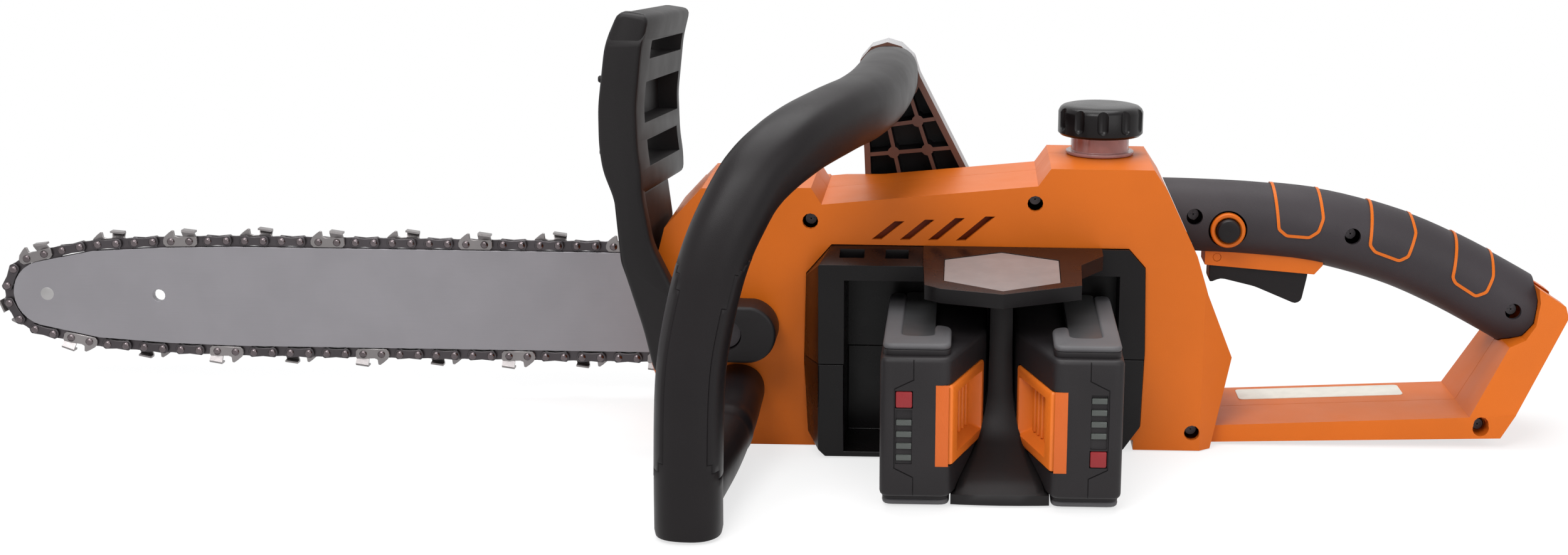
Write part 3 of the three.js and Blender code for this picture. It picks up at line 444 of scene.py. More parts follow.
def extruded(outline: Sequence[Point2], low: float, high: float, face: Face = Face.SIDE,
             bevel: float = 0.0, segments: int = 2, limit_deg: float = 50.0) -> Solid:
    """Makes a block from an outline, with its rims rounded.

    Args:
        outline: the corners.
        low: the block's near limit along its thickness.
        high: its far limit.
        face: the plane of the outline.
        bevel: width of the rounding along both rims.
        segments: faces across the rounding.
        limit_deg: only edges sharper than this are rounded.

    Returns:
        The mesh in millimetres.
    """
    bm = bmesh.new()
    rings = []
    for level in (low, high):
        spots = [(a, level, b) if face is Face.SIDE else (a, b, level) for a, b in outline]
        rings.append([bm.verts.new(spot) for spot in spots])
    bm.faces.new(rings[0])
    bm.faces.new(list(reversed(rings[1])))
    count = len(outline)
    for index in range(count):
        after = (index + 1) % count
        bm.faces.new((rings[0][index], rings[0][after], rings[1][after], rings[1][index]))
    bmesh.ops.recalc_face_normals(bm, faces=bm.faces)
    round_edges(bm, bevel, segments, limit_deg)
    return bm


def lofted(rings: Sequence[Sequence[Point3]]) -> Solid:
    """Skins a row of rings with the same number of points and closes both ends.

    Args:
        rings: the rings in order.

    Returns:
        The mesh in millimetres.
    """
    bm = bmesh.new()
    rows = [[bm.verts.new(spot) for spot in ring] for ring in rings]
    for first, second in zip(rows, rows[1:]):
        count = len(first)
        for index in range(count):
            after = (index + 1) % count
            bm.faces.new((first[index], first[after], second[after], second[index]))
    bm.faces.new(rows[0])
    bm.faces.new(list(reversed(rows[-1])))
    bmesh.ops.recalc_face_normals(bm, faces=bm.faces)
    return bm


def turned(profile: Sequence[Point2], centre: Point3, axis: str = "Z", sides: int = 48) -> Solid:
    """Turns a profile about an axis into a solid.

    Args:
        profile: (radius, height) pairs from one end to the other.
        centre: where the axis passes and height is zero.
        axis: X, Y or Z.
        sides: faces round it.

    Returns:
        The mesh in millimetres.
    """
    rings = []
    for radius, height in profile:
        ring = []
        for step in range(sides):
            angle = 2 * math.pi * step / sides
            reach = max(radius, THINNEST)
            flat = (reach * math.cos(angle), reach * math.sin(angle))
            spot = {"X": (height, *flat), "Y": (flat[0], height, flat[1]), "Z": (*flat, height)}[axis]
            ring.append(tuple(a + b for a, b in zip(spot, centre)))
        rings.append(ring)
    return lofted(rings)


def merged(parts: Iterable[Solid]) -> Solid:
    """Joins meshes into one, leaving their surfaces as they are, and frees them."""
    whole = bmesh.new()
    for part in parts:
        holder = bpy.data.meshes.new("holder")
        part.to_mesh(holder)
        whole.from_mesh(holder)
        bpy.data.meshes.remove(holder)
        part.free()
    return whole


def carved(body: Piece, cutters: Sequence[Solid], operation: str = "DIFFERENCE") -> Piece:
    """Cuts tools out of a body, adds them or keeps what is shared, one exact boolean at a time.

    Args:
        body: the object that is changed.
        cutters: tools in millimetres, which are freed.
        operation: DIFFERENCE, UNION or INTERSECT.

    Returns:
        The body.
    """
    for cutter in cutters:
        tool = solid_from("tool", cutter)
        boolean = body.modifiers.new("cut", "BOOLEAN")
        boolean.operation = operation
        boolean.solver = "EXACT"
        boolean.object = tool
        settle(body)
        bpy.data.objects.remove(tool)
    body.data.shade_smooth()
    body.data.set_sharp_from_angle(angle=math.radians(SMOOTH_DEG))
    return body


def settle(made: Piece) -> None:
    """Applies an object's modifiers to its mesh."""
    view = bpy.context.evaluated_depsgraph_get()
    mesh = bpy.data.meshes.new_from_object(made.evaluated_get(view))
    made.modifiers.clear()
    made.data = mesh


@dataclass(frozen=True)
class Mount:
    """How a piece joins the frame: its body and the nodes that it stands for, with a material slot that is
    kept but not used.
    """

    body: Body
    slot: str
    nodes: tuple[str, ...] = ()

    def take(self, made: Piece, finish: Material) -> Piece:
        """Gives a piece its finish and joins it to the frame.

        Args:
            made: the piece.
            finish: its material.

        Returns:
            The piece.
        """
        made.data.materials.clear()
        made.data.materials.append(finish)
        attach(made, self.body.value)
        if self.nodes:
            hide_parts(*self.nodes)
        LOG.info("%s rides on %s", made.name, self.body.value)
        return made


def fitted(name: str, bm: Solid, finish: Material, slot: str, body: Body = Body.SAW,
           nodes: tuple[str, ...] = (), smooth_deg: float = SMOOTH_DEG) -> Piece:
    """Makes a piece from a mesh, dresses it and joins it to the frame.

    Args:
        name: the piece's name.
        bm: the mesh in millimetres, which is freed.
        finish: its material.
        slot: its material slot, which is not used.
        body: the body that it rides on.
        nodes: the nodes that it stands for.
        smooth_deg: edges sharper than this stay sharp.

    Returns:
        The piece.
    """
    return Mount(body, slot, nodes).take(solid_from(name, bm, smooth_deg), finish)


@dataclass(frozen=True)
class Moulding:
    """A piece that keeps the frame's shape, with its facets cleaned and its edges rounded."""

    node: str
    finish: str
    slot: str
    body: Body = Body.SAW
    radius: float = 0.8
    segments: int = 2
    smooth_deg: float = SMOOTH_DEG

    def build(self, finish_set: Finishes, cut: Sequence[Solid] = ()) -> Piece:
        """Copies the node's surface, cuts tools out of it and rounds its edges.

        Args:
            finish_set: the materials by name.
            cut: tools taken out before the rounding.

        Returns:
            The piece.
        """
        source = bpy.data.objects[self.node].data
        bm = bmesh.new()
        bm.from_mesh(source)
        bmesh.ops.remove_doubles(bm, verts=bm.verts, dist=WELD_M)
        bmesh.ops.dissolve_limit(bm, angle_limit=math.radians(FLAT_DEG), verts=bm.verts, edges=bm.edges)
        bm.transform(Matrix.Scale(1 / MM, 4))
        made = solid_from(f"{self.node}_skin", bm, self.smooth_deg)
        if cut:
            carved(made, cut)
        if self.radius > 0:
            soften = made.modifiers.new("edges", "BEVEL")
            soften.width = self.radius * MM
            soften.segments = self.segments
            soften.limit_method = "ANGLE"
            soften.angle_limit = math.radians(BEVEL_DEG)
            soften.use_clamp_overlap = True
            settle(made)
            made.data.shade_smooth()
            made.data.set_sharp_from_angle(angle=math.radians(self.smooth_deg))
            even = made.modifiers.new("even", "WEIGHTED_NORMAL")
            even.keep_sharp = True
            settle(made)
        return Mount(self.body, self.slot, (self.node,)).take(made, finish_set[self.finish])


# ---------------------------------------------------------------- guide bar and chain
@dataclass
class ChainLoop:
    """The rivet line of the chain: round the bar nose, along both edges, round the drive sprocket."""

    pitch: float = 19.05
    links: int = 50
    bar_z: float = 50.0
    half: float = 29.7
    nose_r: float = 20.7
    sprocket_r: float = 18.4
    taper: float = 62.0
    tail: float = -21.0
    tail_taper: float = 55.0
    first_nose_x: float = -410.0
    nose_x: float = field(init=False)
    points: list[Vector] = field(init=False)

    def __post_init__(self) -> None:
        """Stands the nose where the loop is as long as the chain."""
        slack = self.links * self.pitch - self.length(self.outline(self.first_nose_x))
        self.nose_x = self.first_nose_x - slack / 2
        self.points = self.outline(self.nose_x)

    def arc(self, centre: float, radius: float, start: float, end: float, steps: int) -> list[Vector]:
        """Points round part of a circle on the bar's axis.

        Args:
            centre: X of the circle.
            radius: its radius.
            start: first angle in half turns.
            end: last angle in half turns.
            steps: number of chords.

        Returns:
            The points as (x, z).
        """
        angles = [math.pi * (start + (end - start) * i / steps) for i in range(steps + 1)]
        return [Vector((centre + radius * math.cos(a), self.bar_z + radius * math.sin(a))) for a in angles]

    def outline(self, nose_x: float) -> list[Vector]:
        """The closed loop for a nose at that X."""
        lift = self.half - self.nose_r
        side = [(nose_x + self.taper * 0.4, self.nose_r + lift * 0.62),
                (nose_x + self.taper, self.half - 1), (nose_x + 1.6 * self.taper, self.half),
                (self.tail - self.tail_taper, self.half), (self.tail, self.sprocket_r + 4.5)]
        below = [Vector((x, self.bar_z - reach)) for x, reach in side]
        above = [Vector((x, self.bar_z + reach)) for x, reach in reversed(side)]
        front = self.arc(nose_x, self.nose_r, 0.585, 1.415, 12)
        return front + below + self.arc(0.0, self.sprocket_r, -0.44, 0.44, 10) + above

    @staticmethod
    def length(points: Sequence[Vector]) -> float:
        """Length round a closed row of points."""
        return sum((b - a).length for a, b in zip(points, [*points[1:], points[0]]))

    def at(self, distance: float) -> tuple[Vector, float]:
        """The place and the heading after a distance along the loop."""
        left = distance % self.length(self.points)
        for a, b in zip(self.points, [*self.points[1:], self.points[0]]):
            step = (b - a).length
            if left <= step:
                return a.lerp(b, left / step), math.atan2(b.y - a.y, b.x - a.x)
            left -= step
        return self.points[0], 0.0


@dataclass
class SawChain:
    """Cutters, tie straps, drive links and rivets laid along the loop, as four joined pieces."""

    loop: ChainLoop
    middle_y: float = 38.0
    phase: float = -0.05
    rivet: float = 4.76
    strap_y: Point2 = (1.0, 2.4)
    lobe: float = 2.85
    lobe_arc: float = 129.6
    plate: Point2 = (-8.3, -1.8)
    plate_top: float = 6.4
    plate_fall: float = 0.9
    plate_thick: float = 1.1
    gauge_top: float = 5.8
    reach: float = 4.4
    swap_rank: int = 12

    def lobed(self, waist_up: float, waist_down: float, radius: float, steps: int = 7) -> list[Point2]:
        """Outline of a plate with a lobe round each rivet.

        Args:
            waist_up: height of the outer edge midway.
            waist_down: depth of the inner edge midway.
            radius: radius of the lobes.
            steps: points round each lobe.

        Returns:
            The outline.
        """
        points: list[Point2] = []
        for centre, first in ((self.rivet, -65.0), (-self.rivet, 115.0)):
            for step in range(steps + 1):
                angle = math.radians(first + self.lobe_arc * step / steps)
                points.append((centre + radius * math.cos(angle), radius * math.sin(angle)))
            points.append((0.0, waist_up if first < 0 else -waist_down))
        return points

    def strap(self, side: int) -> Solid:
        """One tie strap on the near (-1) or far (1) side."""
        low, high = sorted((side * self.strap_y[0], side * self.strap_y[1]))
        return extruded(self.lobed(2.0, 2.2, self.lobe), low, high, bevel=0.22, segments=1)

    def drive_link(self) -> Solid:
        """One drive link with its tang between two side links."""
        outline = [(-7.4, -1.6), (-3.4, -2.9), (-1.4, -4.5), (1.2, -4.5), (3.2, -2.9), (7.4, -1.6),
                   (7.6, 1.2), (5.4, 2.5), (0.0, 2.2), (-5.4, 2.5), (-7.6, 1.2)]
        return extruded(outline, -0.6, 0.6, bevel=0.15, segments=1)

    def cutter(self, side: int) -> list[Solid]:
        """One cutter: its base with the depth gauge, the leaning side plate and the top plate."""
        base = [(-8.7, -1.4), (-7.4, -2.7), (7.4, -2.7), (8.8, -1.2), (8.9, 0.6), (7.9, 2.6), (5.6, 4.6),
                (3.9, self.gauge_top), (2.9, self.gauge_top - 0.2), (2.6, 2.9), (1.0, 2.3), (-1.6, 2.4),
                (-2.4, 3.0), (-8.0, 3.0), (-8.8, 1.4)]
        low, high = sorted((side * self.strap_y[0], side * self.strap_y[1]))
        foot = extruded(base, low, high, bevel=0.2, segments=1)
        start, end = self.plate
        rings = []
        for x, drop in ((end, 0.0), (start, self.plate_fall)):
            top = self.plate_top - drop
            inner, outer = 0.2 * side, self.reach * side
            root = side * self.strap_y[0]
            rings.append([(x, root, 2.2), (x, side * (self.strap_y[0] + self.plate_thick), 2.2),
                          (x, outer, top - 1.0), (x, outer - 0.3 * side, top), (x, inner - 0.5 * side, top),
                          (x, inner - 0.5 * side, top - 0.9), (x, outer - 1.5 * side, top - 1.1)])
        return [foot, lofted(rings)]

    def dome(self, centre: float, side: int) -> Solid:
        """One rivet head."""
        out = self.strap_y[1]
        profile = [(1.95, out - 0.3), (1.95, out + 0.3), (1.6, out + 0.8), (0.9, out + 1.1),
                   (0.1, out + 1.2)]
        return turned([(r, side * h) for r, h in profile], (centre, 0.0, 0.0), "Y", 12)

    def laid(self, part: Solid, distance: float) -> Solid:
        """Moves a part from its own frame, outward up, to its place on the loop.

        Args:
            part: the mesh, changed in place.
            distance: where on the loop its middle lies.

        Returns:
            The part.
        """
        ahead, _ = self.loop.at(distance + self.rivet)
        behind, _ = self.loop.at(distance - self.rivet)
        heading = math.atan2(ahead.y - behind.y, ahead.x - behind.x)
        spot = (ahead + behind) / 2
        turn = Matrix.Rotation(-heading, 4, "Y") @ Matrix.Rotation(math.pi, 4, "X")
        part.transform(Matrix.Translation((spot.x, self.middle_y, spot.y)) @ turn)
        return part

    def build(self, finish_set: Finishes) -> None:
        """Lays every link and joins them by kind."""
        straps, cutters, links, rivets = [], [], [], []
        for index in range(self.loop.links):
            middle = (index + self.phase) * self.loop.pitch
            links.append(self.laid(self.drive_link(), middle + self.loop.pitch / 2))
            rank = index // 2
            near = (rank > self.swap_rank) == (rank % 2 == 1)
            tooth = 0 if index % 2 else (1 if near else -1)
            for side in (-1, 1):
                if side == tooth:
                    cutters += [self.laid(part, middle) for part in self.cutter(side)]
                else:
                    straps.append(self.laid(self.strap(side), middle))
                rivets += [self.laid(self.dome(spot, side), middle) for spot in (-self.rivet, self.rivet)]
        fitted("chain_straps", merged(straps), finish_set["strap_steel"], "chain_steel", nodes=("chain",))
        for name, parts, finish in (("chain_drive_links", links, "strap_steel"),
                                    ("chain_cutters", cutters, "cutter_steel"),
                                    ("chain_rivets", rivets, "rivet_steel")):
            fitted(name, merged(parts), finish_set[finish], "chain_steel")


# ---------------------------------------------------------------- front handle
@dataclass
class FrontHandle:
    """The moulded front handle: a leg on the ground, an arch to the far side and a root to the body."""

    path: tuple[Point3, ...] = (
        (-54.2, -174.0, 0.2), (-54.0, -174.0, 30.0), (-52.8, -173.5, 68.0), (-49.5, -172.0, 92.0),
        (-43.2, -170.0, 118.0), (-35.5, -165.0, 137.0), (-26.0, -156.0, 153.0), (-11.5, -138.0, 164.6),
        (3.6, -108.0, 170.0), (13.5, -80.0, 171.5), (19.0, -50.0, 172.5), (21.8, -20.0, 173.0),
        (22.8, 8.0, 172.5), (23.0, 33.0, 171.0))
    root_path: tuple[Point3, ...] = ((-46.0, -46.0, 28.5), (-46.5, -85.0, 24.0), (-49.0, -125.0, 19.5),
                                     (-53.0, -168.0, 17.0))
    wide: float = 14.6
    deep: float = 15.1
    root: float = 12.6
    texture_from: float = 27.0
    texture_to: float = 122.0
    texture_angle: float = 52.0
    texture_fade: float = 9.0
    texture_reach: float = -120.0
    groove: float = 0.45
    rise: float = 0.55
    inset: float = 0.5
    square: float = 2.5
    root_square: float = 2.2
    foot_z: Point3 = (0.4, 1.1, 3.4)
    foot_scale: Point2 = (0.86, 0.97)
    smooth_deg: float = 50.0
    sides: int = 40

    @staticmethod
    def spline(points: Sequence[Point3], steps: int) -> list[Vector]:
        """A smooth line through the points.

        Args:
            points: the points to pass through.
            steps: points per span.

        Returns:
            The denser row of points.
        """
        spots = [Vector(p) for p in points]
        spots = [spots[0] * 2 - spots[1], *spots, spots[-1] * 2 - spots[-2]]
        made = []
        for a, b, c, d in zip(spots, spots[1:], spots[2:], spots[3:]):
            for step in range(steps):
                t = step / steps
                made.append(0.5 * ((2 * b) + (c - a) * t + (2 * a - 5 * b + 4 * c - d) * t * t
                                   + (3 * b - a - 3 * c + d) * t ** 3))
        return [*made, spots[-2]]

    def rings(self, line: Sequence[Vector], wide: float, deep: float, square: float,
              shrink: Callable[[int], float]) -> list[list[Point3]]:
        """Rings of a rounded-square section along a line.

        Args:
            line: the middle line.
            wide: half width along X.
            deep: half depth across.
            square: exponent of the section, 2 is an ellipse.
            shrink: scales the section at each index.

        Returns:
            The rings.
        """
        made = []
        for index, spot in enumerate(line):
            ahead = line[min(index + 1, len(line) - 1)] - line[max(index - 1, 0)]
            forward = ahead.normalized()
            across = (Vector((1, 0, 0)) - forward * forward.x).normalized()
            out = forward.cross(across)
            ring = []
            for side in range(self.sides):
                angle = 2 * math.pi * side / self.sides
                c, s = math.cos(angle), math.sin(angle)
                reach = (abs(c) ** square + abs(s) ** square) ** (-1 / square) * shrink(index)
                ring.append(tuple(spot + across * (c * reach * wide) + out * (s * reach * deep)))
            made.append(ring)
        return made

    def is_textured(self, face: bmesh.types.BMFace) -> bool:
        """Whether a face of the leg lies in one of the two textured strips."""
        spot = face.calc_center_median()
        lean = abs(face.normal.normalized().x)
        end = min(spot.z - self.texture_from, self.texture_to - spot.z)
        share = min(1.0, max(0.0, end / self.texture_fade))
        narrow = math.cos(math.radians(self.texture_angle * share ** 0.5))
        return end > 0 and lean > narrow and spot.y < self.texture_reach

    def build(self, finish_set: Finishes) -> None:
        """Builds the handle with its raised textured strips, and the root with its seam ring."""
        line = self.spline(self.path, 9)
        foot = dict(enumerate(self.foot_scale))
        for index, height in enumerate(self.foot_z):
            line[index] = Vector((*line[index][:2], height))
        arch = lofted(self.rings(line, self.wide, self.deep, self.square, lambda i: foot.get(i, 1.0)))
        strips = [face for face in arch.faces if len(face.verts) == 4 and self.is_textured(face)]
        for depth in (-self.groove, self.rise):
            bmesh.ops.inset_region(arch, faces=strips, thickness=self.inset, depth=depth,
                                   use_even_offset=True)
        for face in strips:
            face.material_index = 1
        handle = fitted("front_handle_arch", arch, finish_set["black_plastic"], "black",
                        nodes=("front_handle",), smooth_deg=self.smooth_deg)
        handle.data.materials.append(finish_set["textured_black"])
        root_line = self.spline(self.root_path, 12)
        swell = {15: 1.035, 16: 1.035, 17: 0.97}
        swelling = self.rings(root_line, self.root, self.root, self.root_square, lambda i: swell.get(i, 1.0))
        root = lofted(swelling)
        fitted("front_handle_root", root, finish_set["black_plastic"], "black", smooth_deg=self.smooth_deg)


def shaved(bm: Solid, spot: Point3, outward: Point3) -> Solid:
    """Slices off what lies beyond a plane and closes the cut.

    Args:
        bm: the mesh, changed in place.
        spot: a point on the plane.
        outward: the direction that is cut away.

    Returns:
        The mesh.
    """
    everything = [*bm.verts, *bm.edges, *bm.faces]
    cut = bmesh.ops.bisect_plane(bm, geom=everything, plane_co=spot, plane_no=outward, clear_outer=True)
    rim = [item for item in cut["geom_cut"] if isinstance(item, bmesh.types.BMEdge)]
    bmesh.ops.contextual_create(bm, geom=rim)
    return bm


def ribbon(path: Sequence[Point2], width: float) -> list[Point2]:
    """Outline of a strip of even width along an open path."""
    left, right = [], []
    for index, spot in enumerate(path):
        here = Vector(spot)
        into = (here - Vector(path[index - 1])).normalized() if index else None
        out = (Vector(path[index + 1]) - here).normalized() if index + 1 < len(path) else None
        into, out = into or out, out or into
        normal = Vector((-(into + out).y, (into + out).x)).normalized()
        reach = width / 2 / max(0.4, normal.dot(Vector((-into.y, into.x))))
        left.append(tuple(here + normal * reach))
        right.append(tuple(here - normal * reach))
    return left + right[::-1]


def block(x: Point2, y: Point2, z: Point2, bevel: float = 0.0) -> Solid:
    """A box between limits, with its edges rounded."""
    corners = [(x[0], z[0]), (x[1], z[0]), (x[1], z[1]), (x[0], z[1])]
    return extruded(corners, *y, bevel=bevel, limit_deg=20.0)


# ---------------------------------------------------------------- hand guard
@dataclass
class HandGuard:
    """The brake guard: a thick leaning panel with windows, its near arm and the pivot lug."""

    near: float = -68.0
    far: float = 45.8
    flange: float = 12.0
    neck: float = 4.0
    lean: float = 0.045
    fall: float = -0.07
    pivot: Point2 = (-50.0, 60.0)
    pivot_r: float = 13.8
    tab_reach: float = 10.0
    well_r: float = 7.5
    socket_r: float = 2.8
    front: tuple[Point2, ...] = ((-88.5, 62), (-98.5, 95), (-101, 124), (-106.3, 138), (-107.8, 150),
                                 (-107.8, 168), (-104.3, 196), (-98, 212.2))
    rear: tuple[Point2, ...] = ((-83.5, 210.2), (-87, 196), (-90, 168), (-89.5, 148), (-88, 136),
                                (-88, 126), (-84, 103))
    panel_z: float = 120.0
    studs: tuple[Point2, ...] = ((-106.0, 180.0), (-106.0, 146.0))
    stud_y: float = -60.0
    lug_y: Point2 = (-65.9, -45.7)
    windows: tuple[tuple[Point2, Point2], ...] = (((189.5, 198), (-44, 38)), ((138.5, 151), (-44, 34)))
    recess: tuple[Point2, Point2] = ((158, 180), (-48, 38))

    def bored(self, radius: float, low: float, high: float, sides: int) -> Solid:
        """A tool for a hole on the pivot's axis."""
        return turned([(radius, low), (radius, high)], (self.pivot[0], 0, self.pivot[1]), "Y", sides)

    def leaned(self, piece: Piece) -> Piece:
        """Leans a piece back and down towards the far side."""
        piece.data.transform(Matrix(((1, self.lean, 0, -self.lean * self.near * MM), (0, 1, 0, 0),
                                     (0, self.fall, 1, -self.fall * self.near * MM), (0, 0, 0, 1))))
        return piece

    def panel(self) -> Piece:
        """The wide upper panel with its windows and the recess between them."""
        upper = [spot for spot in (*self.front, *self.rear) if spot[1] > self.panel_z]
        body = extruded(softened(upper, 4.0), self.near + 1.0, self.far, bevel=2.2, segments=3,
                        limit_deg=60.0)
        z, y = self.recess
        middle = extruded([(-99.5, z[0] + 2), (-70, z[0]), (-70, z[1]), (-99.5, z[1] - 2)], *y)
        cuts = [middle] + [block((-130, -70), across, up) for up, across in self.windows]
        return self.leaned(carved(solid_from("hand_guard_panel", body), cuts))

    def neck_piece(self) -> Piece:
        """The narrow neck that carries the panel in front of the motor body."""
        outline = [(-92.8, 78), (-98.5, 95), (-101, 124), (-101.5, 128), (-89, 128), (-86.6, 108.5),
                   (-92.4, 84)]
        body = extruded(softened(outline, 2.0), self.near + 1.0, self.neck, bevel=1.6, limit_deg=60.0)
        return self.leaned(solid_from("hand_guard_neck", body))

    def build(self, finish_set: Finishes) -> None:
        """Builds the guard with its studs and its pivot bolt cap."""
        arm_outline = softened([(-52, 46.5), (-66, 43), (-83.5, 40), *self.front, *self.rear, (-72, 78),
                                (-66, 75), (-52, 74)], 5.0)
        arm = extruded(arm_outline, self.near, self.near + self.flange, bevel=2.4, segments=3,
                       limit_deg=60.0)
        shaved(arm, (-95, self.near, 196.5), (0, -1.0, 0.42))
        x, z = self.pivot
        turns = [math.pi * (step - 10) / 20 for step in range(40)]
        tab = [(x + self.tab_reach * (step < 20) + self.pivot_r * math.cos(turn),
                z + self.pivot_r * math.sin(turn)) for step, turn in enumerate(turns)]
        lug = extruded(tab, *self.lug_y, bevel=1.6, segments=3, limit_deg=60.0)
        arm_piece = carved(solid_from("hand_guard_arm", arm), [self.bored(self.well_r, -90, -59, 40)])
        lug_piece = carved(solid_from("hand_guard_lug", lug), [self.bored(self.well_r, -90, -59, 40)])
        studs = [turned([(1.7, 2.0), (1.7, -1.6), (1.2, -2.3)], (a, self.stud_y, b), "X", 16)
                 for a, b in self.studs]
        finish = finish_set["guard_plastic"]
        Mount(Body.GUARD, "black", ("hand_guard",)).take(self.panel(), finish)
        neck_piece = self.neck_piece()
        stud_piece = solid_from("hand_guard_studs", merged(studs))
        for piece in (neck_piece, arm_piece, lug_piece, stud_piece):
            Mount(Body.GUARD, "black").take(piece, finish)
        cap = turned([(6.9, -62.6), (6.9, -59.4), (6.2, -59.0)], (x, 0, z), "Y", 40)
        bolt = carved(solid_from("guard_bolt", cap), [self.bored(self.socket_r, -70, -61.0, 6)])
        Mount(Body.SAW, "steel", ("guard_screw",)).take(bolt, finish_set["strap_steel"])


# ---------------------------------------------------------------- battery packs
@dataclass
class BatteryPack:
    """One battery pack; the second is the same moulding turned half round about the post."""

    side: str
    turned_over: bool
    centre_x: float = 80.0
    middle_z: float = 37.75
    outer: float = -54.0
    inner: float = -6.2
    nose: float = -23.0
    front: float = -138.8
    back: float = -27.8
    slant_y: float = -84.0
    body_z: Point2 = (5.7, 69.8)
    collar_top: float = 75.0
    button: Point2 = (47.2, 54.6)
    latch_z: Point2 = (20.6, 57.4)
    relief_y: Point2 = (-134.5, -20)
    bars: int = 4
    bar_x: Point2 = (-46.7, -39.7)
    bar_z: Point2 = (38.9, 41.6)
    bar_pitch: float = 5.4
    ribs: int = 5
    rib_pitch: float = 5.2
    notch_at: tuple[Point2, ...] = ((-132, 57), (-132, 11), (-100, 57), (-100, 11))

    def placed(self, bm: Solid) -> Solid:
        """Moves a mesh from the pack's own frame to its place on the saw."""
        if self.turned_over:
            bm.transform(Matrix.Translation((0, 0, 2 * self.middle_z)) @ Matrix.Rotation(math.pi, 4, "Y"))
        bm.transform(Matrix.Translation((self.centre_x, 0, 0)))
        return bm

    def put(self, name: str, bm: Solid, smooth_deg: float = SMOOTH_DEG) -> Piece:
        """Makes an object from a mesh in the pack's own frame.

        Args:
            name: the piece's name without the side.
            bm: the mesh, with X measured from the post.
            smooth_deg: the sharp-edge limit.

        Returns:
            The object.
        """
        return solid_from(f"pack_{self.side}_{name}", self.placed(bm), smooth_deg)

    def cut(self, body: Piece, tools: Sequence[Solid]) -> None:
        """Cuts tools given in the pack's own frame out of a placed piece."""
        carved(body, [self.placed(tool) for tool in tools])

    def slant_frame(self) -> Matrix:
        """Maps (along the slant, outwards, up) to the pack's own frame."""
        along = Vector((self.inner - self.nose, self.slant_y - self.front, 0)).normalized()
        out = Vector((along.y, -along.x, 0))
        return Matrix(((along.x, out.x, 0, self.nose), (along.y, out.y, 0, self.front), (0, 0, 1, 0),
                       (0, 0, 0, 1)))

    def plan(self) -> list[Point2]:
        """Outline of the case from above."""
        corners = [(self.outer, self.back), (self.outer, self.front), (self.nose, self.front),
                   (self.inner, self.slant_y), (self.inner, self.back)]
        return softened(corners, 4.5, 5)

    def collar(self, low: float, high: float, bevel: float) -> Solid:
        """The surround above the case, open behind for the label."""
        outline = [(-53.0, -36), (-53.0, -134), (-22.8, -134), (-22.8, -101), (-30.5, -97), (-30.5, -118),
                   (-45, -118), (-45, -36)]
        return extruded(softened(outline, 5.0, 4), low, high, Face.PLAN, bevel, 3)

    def both(self, make: Callable[[], Solid]) -> Solid:
        """A feature of the top together with its mirror below."""
        under = make()
        under.transform(Matrix.Translation((0, 0, 2 * self.middle_z)) @ Matrix.Scale(-1, 4, (0, 0, 1)))
        return merged([make(), under])

    def seam(self) -> Solid:
        """The parting line of the front face with its jog round the button."""
        path = [(-39, 80), (-39, 60), (-47.4, 55.8), (-47.4, 19.2), (-39, 15), (-39, -5)]
        return extruded(ribbon(path, 0.55), self.front - 1, self.front + 0.7)

    def relief(self) -> Solid:
        """The room along the lower inner edge that lets the case slide past the foot of the post."""
        profile = [(2, 4), (-20.7, 4), (-20.7, 5.9), (-19.8, 8.3), (-18.2, 10.8), (-16.0, 13.3),
                   (-13.4, 16.3), (-11.0, 20.3), (-9.0, 25.3), (-7.4, 32.3), (-6.0, 42), (2, 42)]
        if self.turned_over:
            profile = [(x, 2 * self.middle_z - z) for x, z in profile]
        return extruded(profile, *self.relief_y)

    def case(self) -> Piece:
        """The case with its latch pocket, button seat, gauge slots, seam and side notches."""
        body = extruded(self.plan(), *self.body_z, Face.PLAN, 2.2, 3, 60.0)
        made = self.put("shell", body)
        low, high = self.latch_z
        pocket = block((0.6, 50.4), (-11, 4), (low - 0.5, high + 0.5), 0.8)
        pocket.transform(self.slant_frame())
        low, high = self.button
        seat = block((-47.2, -39.3), (self.front - 2, self.front + 4), (low - 0.3, high + 0.3))
        gauge = block((-46.9, -39.5), (self.front - 2, self.front + 1.1), (21.2, 46.2), 0.3)
        notches = [block((self.outer - 2, self.outer + 1.4), (y, y + 9), (z, z + 5), 0.6)
                   for y, z in self.notch_at]
        self.cut(made, [pocket, seat, gauge, self.seam(), *notches, self.relief()])
        return made

    def latch(self) -> Solid:
        """The release latch: a frame round a scoop with finger ribs."""
        low, high = self.latch_z
        frame = solid_from("latch_frame", block((1.2, 49.8), (-6.9, 1.0), (low, high), 1.3))
        steps = [(8.2, 46.4, low + 4.2, high - 4.2, 1.6), (9.0, 45.6, low + 5.0, high - 5.0, -0.6),
                 (13.0, 41.8, low + 8.0, high - 8.0, -5.0)]
        scoop = lofted([[(a0, out, z0), (a1, out, z0), (a1, out, z1), (a0, out, z1)]
                        for a0, a1, z0, z1, out in steps])
        round_edges(scoop, 1.1, 3, 30.0)
        carved(frame, [scoop])
        whole = bmesh.new()
        whole.from_mesh(frame.data)
        whole.transform(Matrix.Scale(1 / MM, 4))
        bpy.data.objects.remove(frame)
        starts = [15.4 + self.rib_pitch * index for index in range(self.ribs)]
        ribs = [block((at, at + 2.4), (-6.2, -3.2), (low + 7.6, high - 7.6), 0.9) for at in starts]
        whole = merged([whole, *ribs])
        whole.transform(self.slant_frame())
        return whole

